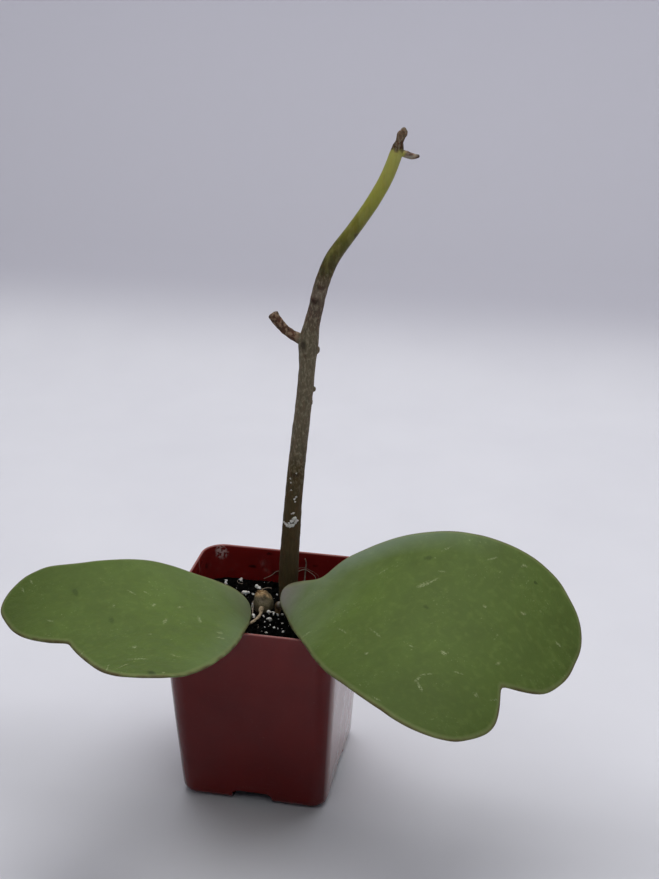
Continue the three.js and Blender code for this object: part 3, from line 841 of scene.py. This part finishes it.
def matt_paper(settings):
    """A sweep of matt paper, pale on the floor, with painted shade greyer up the wall and lighter again
    higher up, and a painted shadow on the floor around the pot.
    """
    material, tree, shader = new_material("matt_paper", Roughness=0.9, Specular_IOR_Level=0.2)
    where = object_place(tree)
    height = add_node(tree, "ShaderNodeSeparateXYZ", {"Vector": where}, output="Z")
    depth = add_node(tree, "ShaderNodeSeparateXYZ", {"Vector": where}, output="Y")
    higher = add_node(tree, "ShaderNodeMapRange", {"Value": height, "From Min": 60.0, "From Max": 330.0})
    stretches = {
        "up_wall": (height, 0.0, 45.0),
        "in_front": (depth, 40.0, -30.0),
        "near_pot": (depth, -90.0, -40.0),
    }
    on = {}
    for part, (value, start, end) in stretches.items():
        on[part] = add_node(
            tree, "ShaderNodeMapRange", {"Value": value, "From Min": start, "From Max": end},
            interpolation_type="SMOOTHSTEP",
        )
    shade = coats(
        tree, (*settings.paper, 1),
        ("#d6d7de", 0.5, blotches(tree, where, 90, 3, 0.3, 0.7)),
        # Painted shadow: a greyer band on the floor around the pot
        ("#c9cad0", 1.0, on["near_pot"], on["in_front"]),
        # Painted shade: greyer where the sweep turns up into the wall, lighter again higher up
        ("#babac4", 1.0, on["up_wall"]),
        ("#d6d6e0", 1.0, higher),
    )
    tree.links.new(shade, shader.inputs["Base Color"])
    return material


def pot_section(settings, z, inset, corner_steps, side_steps):
    """The pot's rounded square section at height z, drawn in from its outer wall."""
    share = z / settings.height
    width = settings.foot_width + (settings.rim_width - settings.foot_width) * share - 2 * inset
    corner = settings.foot_corner + (settings.rim_corner - settings.foot_corner) * share - inset
    reach = width / 2 - corner
    ring = []
    for quarter in range(4):
        spin = Matrix.Rotation(quarter * math.pi / 2, 3, "Z")
        for step in range(corner_steps):
            turn = step / corner_steps * math.pi / 2
            ring.append(spin @ Vector((reach + corner * math.cos(turn), reach + corner * math.sin(turn), z)))
        for step in range(side_steps):
            ring.append(spin @ Vector((reach - step / side_steps * 2 * reach, width / 2, z)))
    return ring


class HOYA_OT_pot(bpy.types.Operator):
    """Moulds the square tapered nursery pot"""

    bl_idname = "hoya.pot"
    bl_label = "Nursery Pot"

    def execute(self, context):
        settings = context.scene.hoya_pot
        height = settings.height
        wall = settings.wall
        foot = 4.5 * MM
        floor = 1.6 * MM
        lip = wall / 2
        # The notch cutter reaches 1 mm below the foot, and half of it lies outside the wall
        notch_width = 18.5 * MM
        notch_depth = 18 * MM
        notch_height = 7 * MM
        notch_middle = 2.5 * MM
        notch_corner = 3.2 * MM
        shares = (0.15, 0.3, 0.45, 0.6, 0.75, 0.88, 0.96)
        rows = []
        for step in range(7):
            turn = step / 6 * math.pi / 2
            rows.append((foot * (1 - math.cos(turn)), foot * (1 - math.sin(turn))))
        for share in shares:
            rows.append((height * share, 0))
        for step in range(7):
            turn = step / 6 * math.pi
            rows.append((height - lip + lip * math.sin(turn), lip - lip * math.cos(turn)))
        for share in reversed(shares):
            rows.append((height * share, wall))
        for step in range(5):
            turn = step / 4 * math.pi / 2
            inner = foot - wall
            rows.append((floor + inner * (1 - math.sin(turn)), wall + inner * (1 - math.cos(turn))))
        rings = [pot_section(settings, z, inset, 12, 8) for z, inset in rows]
        pot = ring_piece("nursery_pot", rings)
        # The thin walls are bowed a little by the mix
        for vertex in pot.data.vertices:
            up = vertex.co.z / height
            bow = 0.35 * MM * math.sin(math.pi * min(up, 1.0)) + 0.12 * MM * rough(vertex.co, 0.02, 3.0)
            out = Vector((vertex.co.x, vertex.co.y, 0))
            vertex.co += out.normalized() * bow * math.sin(math.pi * min(up, 1.0))
        notches = []
        for side in range(4):
            clear_selection()
            bpy.ops.mesh.primitive_cube_add(
                size=1, location=(0, 0, notch_middle), scale=(notch_width, notch_depth, notch_height),
            )
            bpy.ops.object.transform_apply(location=True, rotation=True, scale=True)
            notch = context.object
            bpy.ops.object.mode_set(mode="EDIT")
            shape = bmesh.from_edit_mesh(notch.data)
            for edge in shape.edges:
                ends = [corner.co for corner in edge.verts]
                edge.select = all(end.z > 2 * MM for end in ends) and abs(ends[0].x - ends[1].x) < MM
            bmesh.update_edit_mesh(notch.data)
            bpy.ops.mesh.bevel(offset=notch_corner, segments=6, affect="EDGES")
            bpy.ops.object.mode_set(mode="OBJECT")
            notch.data.transform(Matrix.Translation((0, -settings.foot_width / 2, 0)))
            notch.data.transform(Matrix.Rotation(side * math.pi / 2, 4, "Z"))
            notches.append(notch)
        fuse(pot, notches, "DIFFERENCE")
        dress(pot, moulded_polypropylene(settings), "pot_plastic", "pot", sharp=35)
        return {"FINISHED"}


def mix_height(settings, x, y):
    """How high the surface of the mix lies: clods, and a fall towards the walls."""
    spot = Vector((x, y, 0))
    half = soil_high[0]
    to_wall = min(max(abs(x), abs(y)) / half, 1.0)
    clods = 0.6 * rough(spot, 0.009, 1.0) + 0.4 * rough(spot, 0.0045, 2.0) + 0.3 * rough(spot, 0.002, 5.0)
    return settings.level + settings.relief * 0.6 * clods - 1.2 * MM * to_wall ** 4


class HOYA_OT_mix(bpy.types.Operator):
    """Fills the pot with potting mix, crumbs, perlite and fine roots"""

    bl_idname = "hoya.mix"
    bl_label = "Potting Mix"

    def execute(self, context):
        settings = context.scene.hoya_mix
        pot = context.scene.hoya_pot
        inset = pot.wall + 0.3 * MM
        bottom = 1.9 * MM
        bevel = 3.5 * MM
        circles = 60
        edge = pot_section(pot, settings.level, inset, 12, 24)
        rings = [
            pot_section(pot, bottom, inset + bevel, 12, 24),
            pot_section(pot, bottom + bevel, inset, 12, 24),
            pot_section(pot, 40 * MM, inset, 12, 24),
        ]
        for step in range(circles):
            shrink = 1 - step / circles
            ring = []
            for corner in edge:
                x, y = corner.x * shrink, corner.y * shrink
                ring.append(Vector((x, y, mix_height(settings, x, y))))
            rings.append(ring)
        bed = ring_piece("potting_mix", rings)
        material = damp_mix(settings)
        dress(bed, material, "potting_mix", "soil")

        draw = random.Random(7)
        half = soil_high[0] - 1.5 * MM
        shoot_foot = Vector(context.scene.hoya_shoot.foot)
        stump_foot = Vector(context.scene.hoya_stump.foot)
        shoot_clear = 4.6 * MM
        stump_clear = 4.9 * MM
        corner_round = 8 * MM

        def free_spot(margin):
            while True:
                x, y = draw.uniform(-half, half), draw.uniform(-half, half)
                spot = Vector((x, y))
                corner = Vector([max(abs(value) - half + corner_round, 0) for value in spot])
                clear = (spot - shoot_foot).length > shoot_clear + margin
                clear = clear and (spot - stump_foot).length > stump_clear + margin
                if clear and corner.length < corner_round - margin:
                    return x, y

        def turn():
            return [draw.uniform(0, math.tau) for axis in range(3)]

        places = []
        for order in range(settings.crumbs):
            size = (0.8 + 2.2 * draw.random() ** 2.5) * MM
            x, y = free_spot(size / 2)
            lift = draw.uniform(-0.2, 0.35) * size
            spot = Vector((x, y, mix_height(settings, x, y) + lift))
            shape = Vector((size * draw.uniform(0.9, 1.5), size, size * draw.uniform(0.5, 0.9)))
            places.append((spot, shape, turn()))
        crumbs = scatter("mix_crumbs", [lump("crumb", 1, seed, 0.6) for seed in range(4)], places)
        dress(crumbs, material, "potting_mix", sharp=20)

        places = []
        for x, y, width in PERLITE_IN_SIGHT:
            x, y, width = x * MM, y * MM, width * MM
            spot = Vector((x, y, mix_height(settings, x, y) + 0.3 * width))
            places.append((spot, Vector((width * 1.1, width, width * 0.85)), turn()))
        for order in range(settings.perlite):
            width = (0.3 + 0.9 * draw.random() ** 4) * MM
            x, y = free_spot(width / 2)
            spot = Vector((x, y, mix_height(settings, x, y) + 0.2 * width))
            places.append((spot, Vector((width * 1.15, width, width * 0.8)), turn()))
        # One long flake leans on the stump
        places.append((Vector((-8.1, 6.0, 77.3)) * MM, Vector((1.0, 0.8, 3.6)) * MM, (0.2, 0.1, 0.0)))
        grains = scatter("perlite_grains", [lump("grain", 3, seed, 0.75) for seed in range(10, 15)], places)
        dress(grains, expanded_perlite(settings), "potting_mix")

        # Fine dry roots lie on the mix, and a few climb the back wall behind the shoot
        courses = [
            [(-10, 34.2, 75.6), (-6.5, 34.6, 77.6), (-3.4, 35.0, 80.0), (2.2, 34.8, 80.4), (6.8, 35.0, 82.7),
             (9.2, 34.8, 83.2), (11.4, 34.6, 82.6), (15.6, 34.4, 80.3), (17.2, 33.8, 76.0)],
            [(3.5, 34.6, 79.0), (7.2, 34.6, 81.6), (9.6, 34.9, 82.2), (12.0, 34.6, 81.2), (14.4, 34.2, 79.4),
             (15.6, 33.6, 75.4)],
            [(9.3, 34.2, 75.4), (9.6, 35.4, 81), (9.9, 35.8, 85.3), (9.4, 35.6, 87.6)],
            [(-9, 12, 76.2), (-8.6, 8, 77.2), (-7.6, 4.2, 76.4), (-7.0, 1.6, 75.2)],
            [(-8.4, 23.2, 76.2), (-6, 23.8, 77.0), (-3.7, 24.2, 76.8)],
        ]
        widths = (0.45, 0.55, 0.8, 0.9, 0.5)
        threads = []
        for order, course in enumerate(courses):
            points = [Vector(point) * MM for point in course]
            thick = [widths[order] * MM * (1 - 0.12 * step) for step in range(len(points))]
            threads.append(tube("thread", points, thick, 8, 8))
        for order in range(26):
            x, y = free_spot(2 * MM)
            heading = draw.uniform(0, math.tau)
            points = []
            for step in range(4):
                heading += draw.uniform(-0.6, 0.6)
                x += 1.7 * MM * math.cos(heading)
                y += 1.7 * MM * math.sin(heading)
                x = min(max(x, -half), half)
                y = min(max(y, -half), half)
                points.append(Vector((x, y, mix_height(settings, x, y) + draw.uniform(0.1, 0.5) * MM)))
            thick = draw.uniform(0.16, 0.34) * MM
            threads.append(tube("thread", points, [thick] * 4, 5, 4))
        join(threads)
        threads[0].name = "dry_rootlets"
        dress(threads[0], dried_root("fine_dry_roots", "#85786a", "#5d5044"), "cut_wood")
        return {"FINISHED"}


def in_plane(settings, across, z, out=0.0):
    """A place in the shoot's upright plane, in metres: right of its foot, up, and to the front."""
    turn = settings.plane
    return Vector((
        settings.foot[0] + across * math.cos(turn) + out * math.sin(turn),
        settings.foot[1] + across * math.sin(turn) - out * math.cos(turn),
        z,
    ))


def shoot_at(z):
    """The shoot's middle, half its thickness and how it slants at height z, in millimetres."""
    after = min(max(sum(1 for row in SHOOT_COURSE if row[1] < z), 1), len(SHOOT_COURSE) - 1)
    low, high = SHOOT_COURSE[after - 1], SHOOT_COURSE[after]
    share = min(max((z - low[1]) / (high[1] - low[1]), 0), 1)
    middle = low[0] + (high[0] - low[0]) * share
    half = (low[2] + (high[2] - low[2]) * share) / 2
    slant = math.hypot(high[0] - low[0], high[1] - low[1]) / (high[1] - low[1])
    return middle, half, slant


class HOYA_OT_shoot(bpy.types.Operator):
    """Grows the bare shoot with its cut side branch, bract, buds and dried latex"""

    bl_idname = "hoya.shoot"
    bl_label = "Bare Shoot"

    def execute(self, context):
        settings = context.scene.hoya_shoot

        def ridges(share, turn):
            return 1.02 + 0.02 * math.sin(3 * turn + 9 * share) + 0.015 * math.sin(5 * turn - 31 * share)

        def grow(name, course, sides, **shape):
            points = [in_plane(settings, across * MM, z * MM) for across, z, width in course]
            return tube(name, points, [row[2] * MM for row in course], sides, 3, 2, **shape)

        shoot = grow("bare_shoot", SHOOT_COURSE, 16, shape=ridges)
        branch = grow("branch", BRANCH_COURSE, 12)
        bract = grow("bract", BRACT_COURSE, 10)
        buds = []
        for across, z, width, out in BUDS:
            bud = lump("bud", 3, z, 0.35)
            bud.data.transform(Matrix.Diagonal((width * MM, width * MM, width * 1.3 * MM, 1)))
            bud.data.transform(Matrix.Translation(in_plane(settings, across * MM, z * MM, out * MM)))
            buds.append(bud)
        fuse(shoot, [branch, bract, *buds])

        def bark(spot):
            tall = Vector((spot.x, spot.y, spot.z * 0.22))
            corky = 0.25 if GREEN_FROM < spot.z / MM < GREEN_TO else 1.0
            cork = 0.16 * rough(tall, 0.0011, 4.0) + 0.1 * rough(spot, 0.0028, 6.0)
            return corky * cork * MM

        push_out(shoot, bark)
        # How far each corner belongs to the dry branch, the bract or a bud
        twig = shoot.data.attributes.new("twig", "FLOAT", "POINT")
        turn = Vector((math.cos(settings.plane), math.sin(settings.plane)))
        foot = Vector(settings.foot)
        for vertex in shoot.data.vertices:
            across = (Vector(vertex.co.xy) - foot).dot(turn) / MM
            middle, half, slant = shoot_at(vertex.co.z / MM)
            twig.data[vertex.index].value = min(max((abs(across - middle) - half * slant - 0.2) / 1.2, 0), 1)
        dress(shoot, hoya_bark(settings), "bark", "main_stem")

        draw = random.Random(3)
        places = []
        for across, z, width in GRANULES:
            middle, half, slant = shoot_at(z)
            side = min(max(across - middle, -half), half)
            out = math.sqrt(half ** 2 - side ** 2)
            spot = in_plane(settings, across * MM, z * MM, out * MM)
            size = Vector((width * 1.1, width * 0.8, width)) * MM
            places.append((spot, size, (draw.uniform(-0.4, 0.4), draw.uniform(-0.4, 0.4), settings.plane)))
        latex = scatter("latex_granules", [lump("granule", 3, seed, 0.6) for seed in range(20, 24)], places)
        dress(latex, expanded_perlite(context.scene.hoya_mix), "bark")
        return {"FINISHED"}


class HOYA_OT_stump(bpy.types.Operator):
    """Makes the short cut stump with its torn bark and pale root"""

    bl_idname = "hoya.stump"
    bl_label = "Cut Stump"

    def execute(self, context):
        settings = context.scene.hoya_stump
        x, y = settings.foot
        radius = settings.width / 2
        slant = settings.high - settings.low
        sides = 40
        draw = random.Random(5)
        tear = [draw.random() ** 2 for side in range(sides)]

        def ring(z, reach, lean=0.0, ragged=0.0):
            places = []
            for side in range(sides):
                turn = side / sides * math.tau
                lift = lean * 0.5 * (1 - math.cos(turn + 1.0)) + ragged * tear[side]
                wide = reach * (1 + 0.04 * math.sin(3 * turn) + 0.02 * math.sin(7 * turn))
                places.append(Vector((x + wide * math.cos(turn), y + wide * math.sin(turn), z + lift)))
            return places

        level = context.scene.hoya_mix.level
        low = settings.low
        rings = [
            ring(level - 20 * MM, radius * 0.92),
            ring(level - 4 * MM, radius * 0.95),
            ring(level, radius * 0.99),
            ring(level + 2.0 * MM, radius * 0.99, slant * 0.2),
            ring(low - 1.4 * MM, radius * 0.97, slant * 0.5),
            ring(low - 0.5 * MM, radius * 0.9, slant * 0.85, 0.4 * MM),
            ring(low - 0.1 * MM, radius * 0.8, slant, 0.6 * MM),
            ring(low, radius * 0.72, slant, 0.6 * MM),
            ring(low - 0.6 * MM, radius * 0.66, slant, 0.2 * MM),
            ring(low - 0.7 * MM, radius * 0.52, slant * 0.95, 0.4 * MM),
            ring(low - 0.1 * MM, radius * 0.36, slant * 0.9, 0.5 * MM),
            ring(low - 0.3 * MM, radius * 0.16, slant * 0.9, 0.3 * MM),
        ]
        stump = ring_piece("cut_stump_wood", rings)
        refine(stump, 2)
        splinters = []
        for order in range(24):
            turn = draw.uniform(1.0, 4.0)
            reach = radius * draw.uniform(0.45, 0.75)
            lean = slant * 0.5 * (1 - math.cos(turn + 1.0))
            start = Vector((x + reach * math.cos(turn), y + reach * math.sin(turn), low + lean - 1.6 * MM))
            rise = Vector((draw.uniform(-0.7, 0.7), draw.uniform(-0.7, 0.7), draw.uniform(1.3, 2.4)))
            tip = start + rise * MM
            thick = draw.uniform(0.35, 0.7) * MM
            points = [start, start.lerp(tip, 0.5) + Vector((0.1, 0.1, 0)) * MM, tip]
            splinters.append(tube("splinter", points, [thick, thick * 0.8, thick * 0.2], 5, 3))
        course = [
            (0.2, -3.2, 2.4, 2.6), (0.3, -5.4, 1.8, 2.4), (0.5, -7.6, 1.2, 1.3), (0.2, -10.6, 1.1, 1.6),
            (-0.7, -14.0, 1.3, 1.5), (-2.0, -17.6, 1.8, 1.0),
        ]
        points = [Vector((x + a * MM, y + b * MM, level + up * MM)) for a, b, up, width in course]
        root = tube("pale_root", points, [row[3] * MM for row in course], 10, 8, 1)
        push_out(root, lambda spot: 0.15 * MM * rough(spot, 0.0015, 8.0))
        push_out(stump, lambda spot: 0.12 * MM * rough(Vector((spot.x, spot.y, spot.z * 0.3)), 0.0009, 9.0))
        join([stump, *splinters])
        dress(stump, torn_dry_wood(settings), "cut_wood", "cut_stump")
        dress(root, dried_root("pale_dry_root", "#a8967a", "#5c4d38"), "cut_wood")
        return {"FINISHED"}


def blade_height(leaf, along, across):
    """How high the blade's middle layer lies above its base, at a place on its plan."""
    share = min(max(along / leaf.length, -0.02), 1.02)
    climb = math.tan(leaf.climb) * along
    arch = leaf.arch * 4 * share * (1 - share) * (1 + leaf.lean * (share - 0.5))
    roll = (math.tan(leaf.roll) + leaf.twist * (share - 0.5)) * across
    tilt = leaf.tilt * across * math.exp(-((along / leaf.reach) ** 2))
    return climb + arch + roll + tilt + leaf.cup * (across / (60 * MM)) ** 2


def blade_place(leaf, along, across, up):
    c, s = math.cos(leaf.heading), math.sin(leaf.heading)
    return Vector((
        leaf.base[0] + along * c - across * s,
        leaf.base[1] + along * s + across * c,
        leaf.base[2] + blade_height(leaf, along, across) + up,
    ))


def grow_leaf(name, leaf, left, right, notch, scars, bruises):
    """Models one leaf flat, bends it over its arch and joins its stalk to it."""
    count = 56
    midrib_width = 1.6 * MM
    midrib_start = 30 * MM
    heel_length = 15 * MM

    def side(rows, sign):
        points = [Vector((along, sign * half)) * MM for along, half in rows]
        return even_line(smooth_line([*points, Vector(notch) * MM], 12), count)

    right_side = side(right, -1)
    left_side = side(left, 1)
    left_side.reverse()
    outline = right_side[:-1] + left_side[:-1]
    core = Vector((leaf.length * 0.6, 0))
    half = leaf.thick / 2
    profile = [
        (0.05, 1), (0.2, 1), (0.35, 1), (0.5, 1), (0.64, 0.97), (0.76, 0.91), (0.86, 0.82), (0.93, 0.71),
        (0.965, 0.58), (0.984, 0.42), (0.9955, 0.2), (1, 0),
    ]
    rows = [(size, -share) for size, share in profile]
    rows += [(size, share) for size, share in reversed(profile[:-1])]
    rings = []
    for size, share in rows:
        ring = []
        for point in outline:
            spot = core.lerp(point, size)
            ring.append(Vector((spot.x, spot.y, share * half)))
        rings.append(ring)
    blade = ring_piece(name, rings)
    refine(blade, 1)
    heel = {vertex.index for vertex in blade.data.vertices if vertex.co.x < heel_length}
    for vertex in blade.data.vertices:
        along, across, up = vertex.co
        uneven = 0.25 * rough(Vector((along, across, 0)), 0.018, 2.0) + 0.12 * rough(vertex.co, 0.006, 5.0)
        midrib = 0.1 * math.exp(-((across / midrib_width) ** 2)) if up > 0 else 0.0
        fade = min(max(1 - along / leaf.length, 0), 1) * min(max(along / midrib_start, 0), 1)
        up += (uneven - midrib * fade) * MM
        vertex.co = blade_place(leaf, along, across, up)
    # The heel is rounded over where the margins meet
    pick(blade)
    bpy.ops.object.mode_set(mode="EDIT")
    bpy.ops.mesh.select_all(action="DESELECT")
    shape = bmesh.from_edit_mesh(blade.data)
    for corner in shape.verts:
        corner.select_set(corner.index in heel)
    shape.select_flush(True)
    bmesh.update_edit_mesh(blade.data)
    bpy.ops.mesh.vertices_smooth(factor=0.5, repeat=8)
    bpy.ops.object.mode_set(mode="OBJECT")
    level = bpy.context.scene.hoya_mix.level
    points = [Vector((*leaf.stalk_foot, level + up * MM)) for up in (-14, -4, 1, 4)]
    points += [blade_place(leaf, along * MM, 0, up * MM) for along, up in ((2, -3.2), (7, -2.4), (13, -1.4))]
    widths = [width * MM for width in (3.2, 3.2, 3.2, 3.2, 2.9, 2.4, 1.4)]
    fuse(blade, [tube("stalk", points, widths, 12, 5, 1)])
    margin = kdtree.KDTree(len(outline) * 4)
    edge = even_line([*outline, outline[0]], len(outline) * 4)[:-1]
    for order, point in enumerate(edge):
        margin.insert(blade_place(leaf, point.x, point.y, 0), order)
    margin.balance()
    to_margin = blade.data.attributes.new("to_margin", "FLOAT", "POINT")
    for vertex in blade.data.vertices:
        to_margin.data[vertex.index].value = margin.find(vertex.co)[2] / MM
    material = waxy_leaf(name + "_waxy_skin", leaf, scars, bruises)
    return blade, material


class HOYA_OT_leaves(bpy.types.Operator):
    """Grows the two heart-shaped leaves"""

    bl_idname = "hoya.leaves"
    bl_label = "Leaves"

    def execute(self, context):
        left_rows = (LEFT_LEAF_LEFT, LEFT_LEAF_RIGHT, LEFT_LEAF_NOTCH, LEFT_LEAF_SCARS, LEFT_LEAF_BRUISES)
        right_rows = (
            RIGHT_LEAF_LEFT, RIGHT_LEAF_RIGHT, RIGHT_LEAF_NOTCH, RIGHT_LEAF_SCARS, RIGHT_LEAF_BRUISES,
        )
        for side, rows in (("left", left_rows), ("right", right_rows)):
            settings = getattr(context.scene, f"hoya_{side}_leaf")
            leaf, material = grow_leaf(side + "_leaf", settings, *rows)
            dress(leaf, material, "leaf", "leaf_" + side)
        return {"FINISHED"}


class HOYA_OT_stage(bpy.types.Operator):
    """Sets up the camera, the pale paper sweep and the soft lights"""

    bl_idname = "hoya.stage"
    bl_label = "Stage"

    def execute(self, context):
        settings = context.scene.hoya_stage
        lens = bpy.data.cameras.new("camera")
        lens.lens = settings.lens
        lens.sensor_width = 36
        lens.sensor_fit = "AUTO"
        camera = bpy.data.objects.new("camera", lens)
        camera.location = settings.place
        camera.rotation_euler = (math.pi / 2 - settings.tilt, 0, settings.turn)
        context.collection.objects.link(camera)
        context.scene.camera = camera

        # A level floor that curves up into a wall
        clear_selection()
        bpy.ops.mesh.primitive_plane_add(size=1)
        floor = context.object
        floor.name = "paper_sweep"
        bpy.ops.object.mode_set(mode="EDIT")
        shape = bmesh.from_edit_mesh(floor.data)
        wide, front, back = 3.0, -2.0, 0.42
        for corner in shape.verts:
            corner.co.x *= 2 * wide
            corner.co.y = front if corner.co.y < 0 else back
        for edge in shape.edges:
            edge.select = all(corner.co.y > 0 for corner in edge.verts)
        bmesh.update_edit_mesh(floor.data)
        radius = 0.3
        steps = 24
        for step in range(steps + 1):
            turn = (step + 0.5) / steps * math.pi / 2
            run = radius * math.pi / 2 / steps
            move = (0, run * math.cos(turn), run * math.sin(turn)) if step < steps else (0, 0, 2.5)
            bpy.ops.mesh.extrude_region_move(TRANSFORM_OT_translate={"value": move})
        bpy.ops.object.mode_set(mode="OBJECT")
        bpy.ops.object.shade_smooth()
        floor.data.materials.append(matt_paper(settings))

        def softbox(name, place, aim, size, power, tint):
            light = bpy.data.lights.new(name, "AREA")
            light.shape = "RECTANGLE"
            light.size, light.size_y = size
            light.energy = power
            light.color = tint
            lamp = bpy.data.objects.new(name, light)
            lamp.location = place
            lamp.rotation_euler = (Vector(aim) - Vector(place)).to_track_quat("-Z", "Y").to_euler()
            context.collection.objects.link(lamp)

        softbox("overhead", (0.05, 0.3, 1.25), (0.0, 0.02, 0.0), (1.3, 0.8), 12, (1.0, 0.99, 0.97))
        softbox("forward", (0.1, -0.7, 1.1), (0.1, -0.7, 0.0), (1.6, 0.7), 5.6, (1.0, 0.99, 0.97))
        context.scene.view_settings.view_transform = "Standard"
        return {"FINISHED"}


class HOYA_PT_sidebar(bpy.types.Panel):
    """Lists the pieces and their settings"""

    bl_idname = "HOYA_PT_sidebar"
    bl_label = "Potted Hoya"
    bl_space_type = "VIEW_3D"
    bl_region_type = "UI"
    bl_category = "Potted Hoya"

    def draw(self, context):
        for operator, *holders in STEPS:
            self.layout.operator(operator.bl_idname)
            for holder in holders:
                settings = getattr(context.scene, holder)
                for field in settings.bl_rna.properties.keys():
                    if field not in ("rna_type", "name"):
                        self.layout.prop(settings, field)


GROUPS = {
    "hoya_stage": StageSettings,
    "hoya_pot": PotSettings,
    "hoya_mix": MixSettings,
    "hoya_shoot": ShootSettings,
    "hoya_stump": StumpSettings,
    "hoya_left_leaf": LeafSettings,
    "hoya_right_leaf": LeafSettings,
}
STEPS = [
    (HOYA_OT_stage, "hoya_stage"),
    (HOYA_OT_pot, "hoya_pot"),
    (HOYA_OT_mix, "hoya_mix"),
    (HOYA_OT_shoot, "hoya_shoot"),
    (HOYA_OT_stump, "hoya_stump"),
    (HOYA_OT_leaves, "hoya_left_leaf", "hoya_right_leaf"),
]
CLASSES = [
    StageSettings, PotSettings, MixSettings, ShootSettings, StumpSettings, LeafSettings,
    HOYA_OT_stage, HOYA_OT_pot, HOYA_OT_mix, HOYA_OT_shoot, HOYA_OT_stump, HOYA_OT_leaves, HOYA_PT_sidebar,
]


def set_leaf(leaf, **values):
    """Sets a leaf's fields from millimetres and degrees."""
    for field, value in values.items():
        if field in ("base", "stalk_foot"):
            value = [part * MM for part in value]
        elif field in ("length", "arch", "cup", "reach", "thick"):
            value *= MM
        elif field in ("heading", "climb", "roll", "twist"):
            value = math.radians(value)
        setattr(leaf, field, value)


def register():
    for kind in CLASSES:
        bpy.utils.register_class(kind)
    for holder, kind in GROUPS.items():
        setattr(bpy.types.Scene, holder, PointerProperty(type=kind))


def unregister():
    for holder in GROUPS:
        delattr(bpy.types.Scene, holder)
    for kind in reversed(CLASSES):
        bpy.utils.unregister_class(kind)


def main():
    register()
    scene = bpy.context.scene
    set_leaf(
        scene.hoya_right_leaf, base=(8.1, -10.9, 92.3), heading=-27, length=128.5, climb=-0.8, roll=19.4,
        twist=-39.6, arch=20.3, lean=0.32, cup=5.4, tilt=0.58, reach=14, thick=3.6, stalk_foot=(3.6, 6.6),
        bloom=1.0,
    )
    set_leaf(
        scene.hoya_left_leaf, base=(-2.3, -15.9, 88.3), heading=-124, length=101.5, climb=12.8, roll=-7.7,
        twist=34.8, arch=10.2, lean=-0.72, cup=2.4, tilt=-0.82, reach=10.3, thick=3.4, stalk_foot=(-6.5, -18),
        bloom=0.32,
    )
    bpy.ops.hoya.stage()
    bpy.ops.hoya.pot()
    bpy.ops.hoya.mix()
    bpy.ops.hoya.shoot()
    bpy.ops.hoya.stump()
    bpy.ops.hoya.leaves()


if __name__ == "__main__":
    main()
